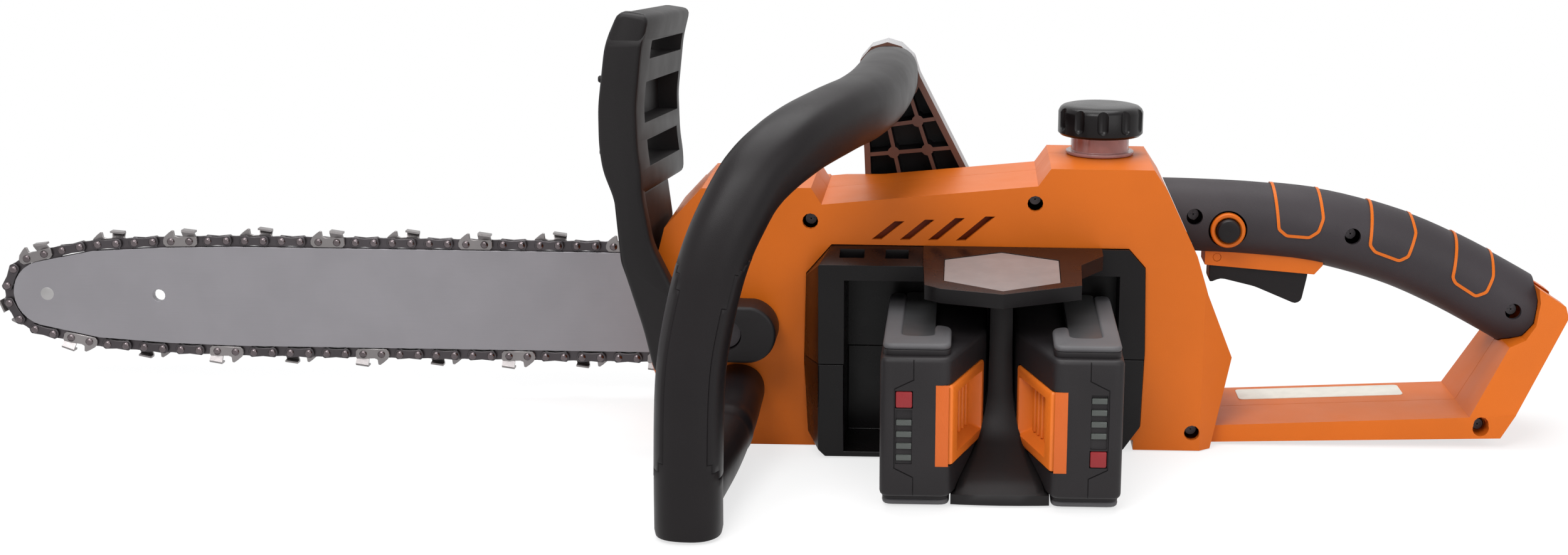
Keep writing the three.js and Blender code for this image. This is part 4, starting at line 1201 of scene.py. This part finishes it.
    def build(self, finish_set: Finishes) -> None:
        """Builds every piece of the pack."""
        body = Body[f"PACK_{self.side.upper()}"]
        case = self.case()
        Mount(body, "dark", (f"pack_{self.side}_case",)).take(case, finish_set["pack_plastic"])
        base = self.put("collar", self.both(lambda: self.collar(69.0, 72.4, 0.5)))
        Mount(body, "dark").take(base, finish_set["pack_plastic"])
        top = self.put("surround", self.both(lambda: self.collar(72.2, self.collar_top, 1.3)))
        Mount(body, "dark").take(top, finish_set["surround_plastic"])
        label = softened([(-45.2, -30), (-45.2, -118.4), (-30.3, -118.4), (-30.3, -30)], 4.0)
        sticker = self.put("label", self.both(lambda: extruded(label, 69.5, 73.9, Face.PLAN, 0.2)))
        Mount(body, "label").take(sticker, finish_set["dark_label"])
        drops = [self.bar_pitch * index for index in range(self.bars)]
        bars = [block(self.bar_x, (self.front + 0.2, self.front + 1.6),
                      (self.bar_z[0] - drop, self.bar_z[1] - drop), 0.4) for drop in drops]
        gauge = self.put("charge_bars", merged(bars))
        Mount(body, "dark").take(gauge, finish_set["gauge_plastic"])
        # painted shade: the latch's strip on the front face takes a darker copy of the latch orange
        strip = block((-29.2, -23.4), (self.front - 0.15, self.front + 0.6),
                      (self.latch_z[0] - 0.4, self.latch_z[1] + 0.2), 0.12)
        Mount(body, "latch").take(self.put("latch_strip", strip), finish_set["latch_painted_shade"])
        latch = self.put("latch_face", self.latch(), 50.0)
        Mount(Body[f"LATCH_{self.side.upper()}"], "latch", (f"pack_{self.side}_latch",)).take(
            latch, finish_set["latch_plastic"])
        button = block((-46.9, -39.6), (self.front - 0.5, self.front + 2.2), self.button, 0.7)
        Mount(Body[f"BUTTON_{self.side.upper()}"], "red", (f"pack_{self.side}_button",)).take(
            self.put("gauge_button", button), finish_set["red_plastic"])


# ---------------------------------------------------------------- rear grip
def screw_heads(spots: Sequence[Point2], level: float, radius: float = 3.1) -> Solid:
    """Screw heads with a cross, which face the near side.

    Args:
        spots: their places as (x, z).
        level: Y of the rim of the heads.
        radius: radius of the heads.

    Returns:
        The mesh of all the heads.
    """
    heads = []
    profile = [(radius, level + 2.4), (radius, level + 0.7), (radius * 0.86, level)]
    for x, z in spots:
        heads.append(turned(profile, (x, 0, z), "Y", 24))
        for wide, tall in ((1.7, 0.35), (0.35, 1.7)):
            heads.append(block((x - wide, x + wide), (level - 0.25, level + 0.5), (z - tall, z + tall)))
    return merged(heads)


@dataclass
class RearGrip:
    """The two grip shells with their raised panels, framed in orange, and the lock-off collar."""

    path: tuple[Point2, ...] = ((150, 108.5), (176, 108.2), (206, 107), (239, 103.6), (274, 94.5),
                                (302, 83), (330, 68.5), (352, 56))
    body: tuple[Point2, ...] = ((0, -1), (184.3, -1), (194.4, 44), (180.4, 78), (174.3, 97),
                                (159.3, 128.4), (0, 150))
    leg: tuple[Point2, ...] = ((299, 0), (329, 4), (361, 64), (385, 64), (385, 110), (349, 96),
                               (345, 78.6), (345.7, 71), (343.6, 60.2), (338.8, 53.3), (330.6, 50),
                               (311, 16))
    radius: float = 18.45
    wall: float = 2.6
    raise_by: float = 0.4
    line_width: float = 1.5
    frames: tuple[tuple[Point2, ...], ...] = (
        ((212.9, 136), (213.7, 128), (216, 105.6), (220, 102.3), (231, 101.6), (235.4, 104.6),
         (237.7, 111), (236.3, 125), (235.8, 134)),
        ((263.5, 130), (262.8, 119), (261, 98.3), (263.6, 95), (275.7, 90.7), (280, 93), (284, 104),
         (283, 110.7), (281.5, 126)),
        ((307, 112), (305.3, 100), (302.5, 82.8), (304, 80), (314.4, 73.5), (319.5, 75.6), (323, 83),
         (323.7, 91), (325, 104)))
    screws: tuple[Point2, ...] = ((174.7, 110.9), (252.4, 102.4), (333.6, 65.9))
    screw_y: Point2 = (-10.4, -12.6)
    screw_hole_r: float = 4.0
    lock: Point2 = (191.2, 104.6)
    lock_hole_r: float = 9.5
    parting: float = 0.15
    through: Point2 = (-40, 40)
    sides: int = 56
    smooth_deg: float = 40.0

    def tube(self, radius: float) -> Solid:
        """A round bar along the grip."""
        line = FrontHandle.spline([(x, 0.0, z) for x, z in self.path], 5)
        rings = []
        for index, spot in enumerate(line):
            ahead = (line[min(index + 1, len(line) - 1)] - line[max(index - 1, 0)]).normalized()
            up = Vector((-ahead.z, 0, ahead.x))
            turns = [2 * math.pi * side / self.sides for side in range(self.sides)]
            rings.append([tuple(spot + (up * math.cos(turn) + Vector((0, 1, 0)) * math.sin(turn)) * radius)
                          for turn in turns])
        return lofted(rings)

    def openings(self) -> list[Solid]:
        """The cuts through the shells."""
        x, z = self.lock
        r = self.screw_hole_r
        holes = [turned([(r, -30), (r, -13)], (a, 0, b), "Y", 28) for a, b in self.screws]
        return [extruded(self.body, *self.through), extruded(self.leg, *self.through),
                block((170, 241), (-9.3, 9.3), (80, 97)),
                turned([(self.lock_hole_r, -30), (self.lock_hole_r, -10)], (x, 0, z), "Y", 48), *holes]

    def half(self, side: str, across: Point2) -> list[Piece]:
        """One shell and its raised panels.

        Args:
            side: "left" or "right".
            across: the limits in Y.

        Returns:
            The shell, then the panels.
        """
        shell = solid_from(f"grip_{side}_shell", self.tube(self.radius), self.smooth_deg)
        carved(shell, [self.tube(self.radius - self.wall), *self.openings()])
        plates = merged([extruded(softened(outline, 1.5), *self.through) for outline in self.frames])
        panels = solid_from(f"grip_{side}_panels", plates, self.smooth_deg)
        carved(panels, [self.tube(self.radius + self.raise_by)], "INTERSECT")
        carved(panels, [self.tube(self.radius - 0.6)])
        for made in (shell, panels):
            carved(made, [block((100, 400), across, (0, 200))], "INTERSECT")
        return [shell, panels]

    def inlay(self) -> Piece:
        """The orange lines round the panels."""
        outlines = [ribbon(softened(outline, 1.0, 2), self.line_width) for outline in self.frames]
        lines = [extruded(outline, *self.through) for outline in outlines]
        made = solid_from("grip_inlay", merged(lines), self.smooth_deg)
        carved(made, [self.tube(self.radius + self.raise_by + 0.2)], "INTERSECT")
        return carved(made, [self.tube(self.radius - 0.8)])

    def build(self, finish_set: Finishes) -> None:
        """Builds the shells, the inlay, the collar and the screws."""
        near, far = self.through
        for side, across in (("left", (near, -self.parting)), ("right", (self.parting, far))):
            shell, panels = self.half(side, across)
            Mount(Body.SAW, "dark", (f"grip_{side}",)).take(shell, finish_set["grip_plastic"])
            Mount(Body.SAW, "dark").take(panels, finish_set["grip_plastic"])
        Mount(Body.SAW, "orange").take(self.inlay(), finish_set["orange_plastic"])
        x, z = self.lock
        ring = turned([(6.2, -15.2), (8.5, -15.2), (8.5, -19.4), (8.0, -20.0), (6.8, -20.0), (6.2, -19.3),
                       (6.2, -15.2)], (x, 0, z), "Y", self.sides)
        fitted("lock_ring", ring, finish_set["orange_plastic"], "orange", nodes=("lock_collar",))
        button = turned([(0, -10.2), (5.9, -10.2), (5.9, -21.6), (5.2, -22.8), (4.0, -23.1), (0, -22.6)],
                        (x, 0, z), "Y", self.sides)
        fitted("lock_button_face", button, finish_set["black_plastic"], "black", Body.LOCK, ("lock_button",))
        heads = merged([screw_heads(self.screws[:2], self.screw_y[0]),
                        screw_heads(self.screws[2:], self.screw_y[1])])
        fitted("grip_screws", heads, finish_set["strap_steel"], "steel")


# ---------------------------------------------------------------- dock foot and small fittings
@dataclass
class DockFoot:
    """The smooth flare at the bottom of the dock post, between the packs."""

    centre_x: float = 80.0
    back: float = -84.0
    levels: tuple[Point3, ...] = (
        (0.5, -132.0, 22.2), (5.2, -132.0, 22.2), (5.5, -131.5, 20.3), (8.0, -129.0, 19.4),
        (10.5, -124.0, 17.8), (13.0, -117.0, 15.6), (16.0, -109.0, 13.0), (20.0, -101.0, 10.6),
        (25.0, -95.0, 8.6), (32.0, -91.0, 7.0), (40.0, -89.0, 5.8), (60.0, -88.3, 5.3), (86.0, -88.05, 5.1))
    bow: tuple[Point2, ...] = ((1.0, 0.0), (0.8, 0.5), (0.4, 1.0), (0.0, 1.2))

    def ring(self, z: float, front: float, wide: float) -> list[Point3]:
        """One level of the flare, with straight sides and a slightly bowed front."""
        left = [(-wide * share, front - out) for share, out in self.bow]
        right = [(wide * share, front - out) for share, out in self.bow[-2::-1]]
        across = [(-wide, self.back), *left, *right, (wide, self.back)]
        return [(self.centre_x + x, y, z) for x, y in across]

    def build(self, finish_set: Finishes) -> None:
        """Builds the flare."""
        flare = lofted([self.ring(*level) for level in self.levels])
        fitted("dock_foot_flare", flare, finish_set["guard_plastic"], "black", smooth_deg=60.0)


@dataclass
class OilCap:
    """The scalloped oil cap with its rounded, glossy top."""

    centre: Point2 = (128.4, 0.0)
    low: float = 148.3
    high: float = 163.2
    radius: float = 20.9
    inner: float = 15.4
    wall: float = 2.6
    grooves: int = 11
    groove_out: float = 1.7
    groove_turn: float = 0.25

    def build(self, finish_set: Finishes) -> None:
        """Builds the cap and cuts its finger grooves and the room for the neck."""
        x, y = self.centre
        r, top = self.radius, self.high
        profile = [(self.inner, self.low), (r - 1.2, self.low), (r, self.low + 1.2), (r, top - 3.4),
                   (r - 0.7, top - 1.9), (r - 2.0, top - 0.8), (r - 3.8, top - 0.3), (r - 6.5, top),
                   (THINNEST, top), (THINNEST, top - self.wall), (self.inner, top - self.wall)]
        cap = solid_from("oil_cap_grip", turned(profile, (x, y, 0), "Z", 88), 50.0)
        cuts = []
        for index in range(self.grooves):
            turn = 2 * math.pi * (index + self.groove_turn) / self.grooves
            reach = r + self.groove_out
            foot = self.low + 2.0
            finger = [(THINNEST, foot), (1.8, foot + 0.4), (2.9, foot + 1.4), (3.3, foot + 2.6),
                      (3.3, top + 3), (THINNEST, top + 3)]
            cuts.append(turned(finger, (x + reach * math.cos(turn), y + reach * math.sin(turn), 0), "Z", 24))
        carved(cap, cuts)
        Mount(Body.CAP, "black", ("oil_cap",)).take(cap, finish_set["gloss_black"])


@dataclass
class Trim:
    """Small parts: screws, the sticker, the vent baffle, a darker orange sheet that paints the shade behind
    the vent slots, the plug of the rear leg and the nose rivet.
    """

    screws: tuple[Point2, ...] = ((-11.3, 111.4), (95.8, 122.5), (174.5, 9.0))
    screw_depth: float = 7.0
    leg_screw: Point2 = (318.0, 10.0)
    leg_screw_y: float = -24.6
    near: float = -45.0
    card: tuple[Point2, ...] = ((204, 10), (288, 10), (288, 28), (204, 28))
    bar_foot: Point2 = (187, 9.6)
    bar_slope: float = 5.9 / 125.0
    vents: tuple[Point2, ...] = ((14, 100), (66, 100), (80, 118), (26, 115))
    vent_y: Point2 = (5.0, 6.4)
    leg_top: tuple[Point2, ...] = ((358.0, 68.6), (345.9, 76.3), (345.9, 73.3), (356.6, 66.0))
    leg_half: float = 19.4
    nose: Point2 = (-413.4, 50.0)

    def build(self, finish_set: Finishes) -> None:
        """Builds each small part."""
        heads = screw_heads(self.screws, self.near + self.screw_depth)
        fitted("housing_screws", heads, finish_set["strap_steel"], "steel")
        low = screw_heads((self.leg_screw,), self.leg_screw_y)
        fitted("leg_screw", low, finish_set["strap_steel"], "steel")
        sticker = extruded(softened(self.card, 2.5), -0.1, 0.35, Face.PLAN, 0.1)
        x, z = self.bar_foot
        sticker.transform(Matrix.Translation((x, 0, z)) @ Matrix.Rotation(-math.atan(self.bar_slope), 4, "Y")
                          @ Matrix.Translation((-x, 0, 0)))
        fitted("bar_sticker", sticker, finish_set["pale_label"], "label")
        # the baffle is a dark orange sheet behind the vent slots that stands in for the shade inside them:
        # painted shade
        baffle = extruded(self.vents, self.near + self.vent_y[0], self.near + self.vent_y[1], bevel=0.3)
        fitted("vent_baffle", baffle, finish_set["vent_painted_shade"], "orange")
        plug = extruded(self.leg_top, -self.leg_half, self.leg_half, bevel=0.3)
        fitted("leg_plug", plug, finish_set["orange_plastic"], "orange")
        x, z = self.nose
        rivet = turned([(3.0, 35.8), (3.6, 36.1), (3.6, 39.9), (3.0, 40.2)], (x, 0, z), "Y", 32)
        fitted("nose_rivet", rivet, finish_set["bright_steel"], "steel")


@dataclass
class LeftHousing:
    """The near housing shell, with the hole of its rear screw sunk deep."""

    hole: Point2 = (318.0, 10.0)
    hole_r: float = 4.0
    hole_y: Point2 = (-40, -22)
    edge: float = 1.6

    def build(self, finish_set: Finishes) -> None:
        """Builds the shell."""
        x, z = self.hole
        sunk = turned([(self.hole_r, level) for level in self.hole_y], (x, 0, z), "Y", 36)
        Moulding("housing_left", "orange_plastic", "orange", Body.SAW, self.edge).build(finish_set, [sunk])


@dataclass
class Bracket:
    """The far bracket of the front handle: black cells with ribs that catch the light, which is painted on
    as highlights.
    """

    node: str = "handle_bracket"
    rim_foot: Point2 = (66.0, 118.0)
    rim_head: Point2 = (38.5, 171.0)
    handle_end: Point2 = (23.0, 171.0)
    handle_reach: float = 13.0
    rim: float = 1.2
    rib_depth: float = 0.9
    edge: float = 0.3

    def on_rim(self, spot: Vector) -> bool:
        """Whether a spot lies on the outer wall behind the cells or round the end of the handle."""
        x, z = spot.x / MM, spot.z / MM
        if z > self.rim_head[1]:
            return math.dist((x, z), self.handle_end) > self.handle_reach
        share = (z - self.rim_foot[1]) / (self.rim_head[1] - self.rim_foot[1])
        return x > self.rim_foot[0] + share * (self.rim_head[0] - self.rim_foot[0]) - self.rim

    def build(self, finish_set: Finishes) -> None:
        """Builds the bracket and paints highlights on the near faces of its ribs and on its rim faces that
        face up or forward.
        """
        made = Moulding(self.node, "black_plastic", "black", Body.SAW, self.edge).build(finish_set)
        for finish in ("rib_painted_highlight", "rim_painted_highlight"):
            made.data.materials.append(finish_set[finish])
        nearest = min(vertex.co.y for vertex in made.data.vertices)
        for face in made.data.polygons:
            # painted highlight: the rib fronts nearest the camera take a lighter brown
            if face.normal.y < -0.6 and face.center.y < nearest + self.rib_depth * MM:
                face.material_index = 1
            # painted highlight: rim faces turned up or forward take a light grey
            elif max(face.normal.z, face.normal.x) > 0.3 and self.on_rim(face.center):
                face.material_index = 2


# ---------------------------------------------------------------- camera, light and stage
@dataclass(frozen=True)
class Studio:
    """The camera, the soft lights and the pale surroundings.

    Each lamp has its name, its place and aim in metres, its power in watts and its side in metres.
    """

    camera_at: Point3 = (62.4, -1062.15, 319.84)
    pitch_deg: float = 77.0
    roll_deg: float = 0.9
    lens_mm: float = 50.0
    sensor_mm: float = 36.0
    shift: Point2 = (-0.1148, 0.0)
    sky: Point3 = (0.95, 0.97, 1.0)
    sky_strength: float = 0.38
    pale: float = 0.96
    shadow: float = 0.3
    fade: Point2 = (0.25, 0.6)
    fade_stretch: Point3 = (0.8, 1.3, 1.0)
    floor_reach: float = 3000.0
    floor_drop: float = 0.5
    lamps: tuple[tuple[str, Point3, Point3, float, float], ...] = (
        ("key", (-0.5, -1.3, 1.6), (-0.05, 0.0, 0.1), 26.0, 1.0),
        ("fill", (0.9, -1.4, 0.8), (0.1, 0.0, 0.08), 9.0, 1.2),
        ("top", (0.0, 0.25, 1.5), (0.0, 0.0, 0.1), 20.0, 1.2))

    def aim(self) -> None:
        """Makes the camera."""
        camera = bpy.data.objects.new("camera", bpy.data.cameras.new("camera"))
        bpy.context.scene.collection.objects.link(camera)
        camera.data.lens = self.lens_mm
        camera.data.sensor_width = self.sensor_mm
        camera.data.shift_x, camera.data.shift_y = self.shift
        turn = Matrix.Rotation(math.radians(self.pitch_deg), 4, "X") @ Matrix.Rotation(
            math.radians(self.roll_deg), 4, "Z")
        camera.matrix_world = Matrix.Translation(Vector(self.camera_at) * MM) @ turn
        bpy.context.scene.camera = camera

    def lamp(self, name: str, at: Point3, look: Point3, power: float, size: float) -> None:
        """Adds one soft square lamp.

        Args:
            name: its name.
            at: where it hangs, in metres.
            look: where it points, in metres.
            power: its power in watts.
            size: its side in metres.
        """
        data = bpy.data.lights.new(name, "AREA")
        data.shape = "SQUARE"
        data.size = size
        data.energy = power
        lamp = bpy.data.objects.new(name, data)
        bpy.context.scene.collection.objects.link(lamp)
        lamp.location = at
        lamp.rotation_euler = (Vector(look) - Vector(at)).to_track_quat("-Z", "Y").to_euler()

    @staticmethod
    def shown(tree: bpy.types.NodeTree) -> Socket:
        """One where the background itself is seen: straight on, in a reflection or through clear plastic.

        Args:
            tree: the world's or the floor's nodes.

        Returns:
            The output that is 0 or 1.
        """
        path = tree.nodes.new("ShaderNodeLightPath")
        found = path.outputs["Is Camera Ray"]
        for ray in ("Is Glossy Ray", "Is Transmission Ray"):
            either = tree.nodes.new("ShaderNodeMath")
            either.operation = "MAXIMUM"
            tree.links.new(found, either.inputs[0])
            tree.links.new(path.outputs[ray], either.inputs[1])
            found = either.outputs["Value"]
        return found

    def surround(self) -> None:
        """Sets a pale world that shows white behind the saw and lights it softly."""
        world = bpy.data.worlds.new("surround")
        bpy.context.scene.world = world
        world.use_nodes = True
        nodes, links = world.node_tree.nodes, world.node_tree.links
        nodes.clear()
        out = nodes.new("ShaderNodeOutputWorld")
        mix = nodes.new("ShaderNodeMixShader")
        seen = nodes.new("ShaderNodeBackground")
        seen.inputs["Color"].default_value = (1.0, 1.0, 1.0, 1.0)
        lit = nodes.new("ShaderNodeBackground")
        lit.inputs["Color"].default_value = (*self.sky, 1.0)
        lit.inputs["Strength"].default_value = self.sky_strength
        links.new(self.shown(world.node_tree), mix.inputs["Fac"])
        links.new(lit.outputs["Background"], mix.inputs[1])
        links.new(seen.outputs["Background"], mix.inputs[2])
        links.new(mix.outputs["Shader"], out.inputs["Surface"])

    def floor(self) -> None:
        """Lays a white floor that keeps a soft shadow near the saw."""
        bm = bmesh.new()
        bmesh.ops.create_grid(bm, x_segments=2, y_segments=2, size=self.floor_reach)
        ground = solid_from("floor", bm)
        ground.location.z = -self.floor_drop * MM
        g = Graph("floor_white")
        nodes = g.tree.nodes
        glow = nodes.new("ShaderNodeEmission")
        mix = nodes.new("ShaderNodeMixShader")
        g.shader.inputs["Base Color"].default_value = (self.pale, self.pale, self.pale, 1.0)
        g.shader.inputs["Roughness"].default_value = 0.9
        far = g.node("ShaderNodeVectorMath", operation="LENGTH")
        g.link(g.place(self.fade_stretch), far.inputs[0])
        white = g.node("ShaderNodeMapRange")
        white.inputs["From Min"].default_value, white.inputs["From Max"].default_value = self.fade
        white.inputs["To Min"].default_value = 1.0 - self.shadow
        g.link(far.outputs["Value"], white.inputs["Value"])
        share = g.node("ShaderNodeMath", operation="MULTIPLY")
        g.link(self.shown(g.tree), share.inputs[0])
        g.link(white.outputs["Result"], share.inputs[1])
        g.link(share.outputs["Value"], mix.inputs["Fac"])
        g.link(g.shader.outputs["BSDF"], mix.inputs[1])
        g.link(glow.outputs["Emission"], mix.inputs[2])
        g.link(mix.outputs["Shader"], nodes["Material Output"].inputs["Surface"])
        ground.data.materials.append(g.material)

    def build(self) -> None:
        """Builds the surroundings in order."""
        self.surround()
        self.floor()
        for lamp in self.lamps:
            self.lamp(*lamp)


# ---------------------------------------------------------------- assembly
def finishes() -> Finishes:
    """Builds every finish by its short name."""
    made = [
        MouldedPlastic("orange_plastic", (0.53, 0.113, 0.006), 0.40, drift=0.03, specular=0.2),
        MouldedPlastic("grip_plastic", (0.024, 0.019, 0.022), 0.55, grain_depth=0.00007, drift=0.12,
                       specular=0.3),
        MouldedPlastic("black_plastic", (0.0062, 0.0046, 0.0052), 0.42, drift=0.12, specular=0.2),
        MouldedPlastic("gloss_black", (0.004, 0.003, 0.0033), 0.27, grain_depth=0.00002, drift=0.12,
                       specular=0.2),
        # painted shade: a dark red-brown orange for the sheet behind the vent slots
        MouldedPlastic("vent_painted_shade", (0.19, 0.026, 0.004), 0.5, specular=0.2),
        # painted highlights: lighter grey and brown colours for the black bracket's rim and rib faces that
        # face the light
        MouldedPlastic("rim_painted_highlight", (0.34, 0.335, 0.34), 0.5),
        MouldedPlastic("rib_painted_highlight", (0.105, 0.043, 0.028), 0.36, drift=0.10),
        MouldedPlastic("guard_plastic", (0.0065, 0.0052, 0.0056), 0.5, drift=0.10, specular=0.24),
        MouldedPlastic("pack_plastic", (0.0125, 0.0105, 0.0115), 0.5, drift=0.10, specular=0.25),
        MouldedPlastic("surround_plastic", (0.075, 0.072, 0.076), 0.6, drift=0.08),
        MouldedPlastic("latch_plastic", (0.66, 0.150, 0.015), 0.38, drift=0.04, specular=0.3),
        # painted shade: a darker copy of the latch orange for the latch's front strip
        MouldedPlastic("latch_painted_shade", (0.50, 0.098, 0.013), 0.4, drift=0.04, specular=0.25),
        MouldedPlastic("gauge_plastic", (0.052, 0.058, 0.053), 0.25, drift=0.1),
        MouldedPlastic("red_plastic", (0.22, 0.017, 0.020), 0.34, drift=0.04, specular=0.25),
        LeatherGrain("textured_black", (0.010, 0.0085, 0.0095)),
        Steel("bar_steel", (0.235, 0.225, 0.24), 0.42, (60.0, 60.0, 2600.0), 0.03, metallic=0.6),
        Steel("rivet_steel", (0.13, 0.11, 0.115), 0.24, (500.0, 500.0, 500.0)),
        Steel("bright_steel", (0.42, 0.41, 0.41), 0.28),
        Steel("strap_steel", (0.065, 0.058, 0.062), 0.36, (500.0, 500.0, 500.0), metallic=0.85),
        Steel("cutter_steel", (0.22, 0.205, 0.205), 0.30, (700.0, 700.0, 700.0), metallic=0.85),
        ClearResin("neck_resin", (0.60, 0.30, 0.28)),
        FoilLabel("grey_label", (0.19, 0.165, 0.16)),
        FoilLabel("pale_label", (0.64, 0.62, 0.55)),
        FoilLabel("dark_label", (0.05, 0.05, 0.052)),
        WoundCopper("copper_winding", (0.62, 0.22, 0.10)),
        MouldedPlastic("board_green", (0.02, 0.12, 0.05), 0.4, specks=True),
        MouldedPlastic("tank_plastic", (0.45, 0.44, 0.40), 0.5),
    ]
    return {kind.name: kind.build() for kind in made}


@dataclass(frozen=True)
class Batch:
    """Nodes that keep the frame's shape and share a finish."""

    nodes: tuple[str, ...]
    finish: str
    slot: str
    body: Body = Body.SAW
    radius: float = 0.5

    def build(self, finish_set: Finishes) -> None:
        """Builds a moulding for each node."""
        for node in self.nodes:
            Moulding(node, self.finish, self.slot, self.body, self.radius).build(finish_set)


BATCHES = (
    Batch(("housing_right",), "orange_plastic", "orange", radius=1.6),
    Batch(("trigger_bezel",), "orange_plastic", "orange"),
    Batch(("trigger_pin",), "orange_plastic", "orange", radius=0.2),
    Batch(("dock_upper", "dock_lower"), "gloss_black", "black", radius=0.8),
    Batch(("contacts_left", "contacts_right"), "black_plastic", "black", radius=0.8),
    Batch(("label_plate",), "grey_label", "label", radius=0.2),
    Batch(("oil_tank",), "tank_plastic", "tank"),
    Batch(("filler_neck",), "neck_resin", "neck"),
    Batch(("sprocket_cover",), "black_plastic", "black"),
    Batch(("guide_bar",), "bar_steel", "steel", radius=0.3),
    Batch(("trigger",), "black_plastic", "black", Body.TRIGGER),
    Batch(("cap_seal",), "black_plastic", "black", Body.CAP),
    Batch(("nose_sprocket",), "bright_steel", "steel", Body.NOSE, 0.2),
    Batch(("bar_stud_1", "bar_stud_2", "motor_bearing_inner",
           "motor_bearing_outer", "spindle_bearing", "brake_band", "brake_spring", "oil_pump",
           "oil_filter"), "bright_steel", "steel", radius=0.3),
    Batch(("bar_nut_1",), "bright_steel", "steel", Body.NUT_1),
    Batch(("bar_nut_2",), "bright_steel", "steel", Body.NUT_2),
    Batch(("tension_screw",), "bright_steel", "steel", Body.TENSION_SCREW, 0.2),
    Batch(("tension_pin",), "bright_steel", "steel", Body.TENSION_PIN, 0.2),
    Batch(("spindle", "drive_gear", "drive_sprocket", "brake_drum"), "bright_steel", "steel",
          Body.SPINDLE, 0.3),
    Batch(("motor_rotor", "pinion"), "bright_steel", "steel", Body.ROTOR, 0.2),
    Batch(("fan",), "black_plastic", "black", Body.ROTOR, 0.2),
    Batch(("motor_stator",), "copper_winding", "winding", radius=0.4),
    Batch(("trigger_switch", "oil_hose"), "black_plastic", "black", radius=0.3),
    Batch(("control_board",), "board_green", "board", radius=0.2),
)


def main() -> None:
    """Builds the whole visual piece by piece."""
    logging.basicConfig(level=logging.INFO, format="%(message)s")
    bpy.ops.wm.read_factory_settings(use_empty=True)
    studio = Studio()
    studio.aim()
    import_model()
    studio.build()
    finish_set = finishes()
    for batch in BATCHES:
        batch.build(finish_set)
    SawChain(ChainLoop()).build(finish_set)
    FrontHandle().build(finish_set)
    HandGuard().build(finish_set)
    RearGrip().build(finish_set)
    DockFoot().build(finish_set)
    OilCap().build(finish_set)
    Trim().build(finish_set)
    Bracket().build(finish_set)
    LeftHousing().build(finish_set)
    BatteryPack("left", False).build(finish_set)
    BatteryPack("right", True).build(finish_set)
    bpy.context.scene.view_settings.view_transform = "Standard"


if __name__ == "__main__":
    main()
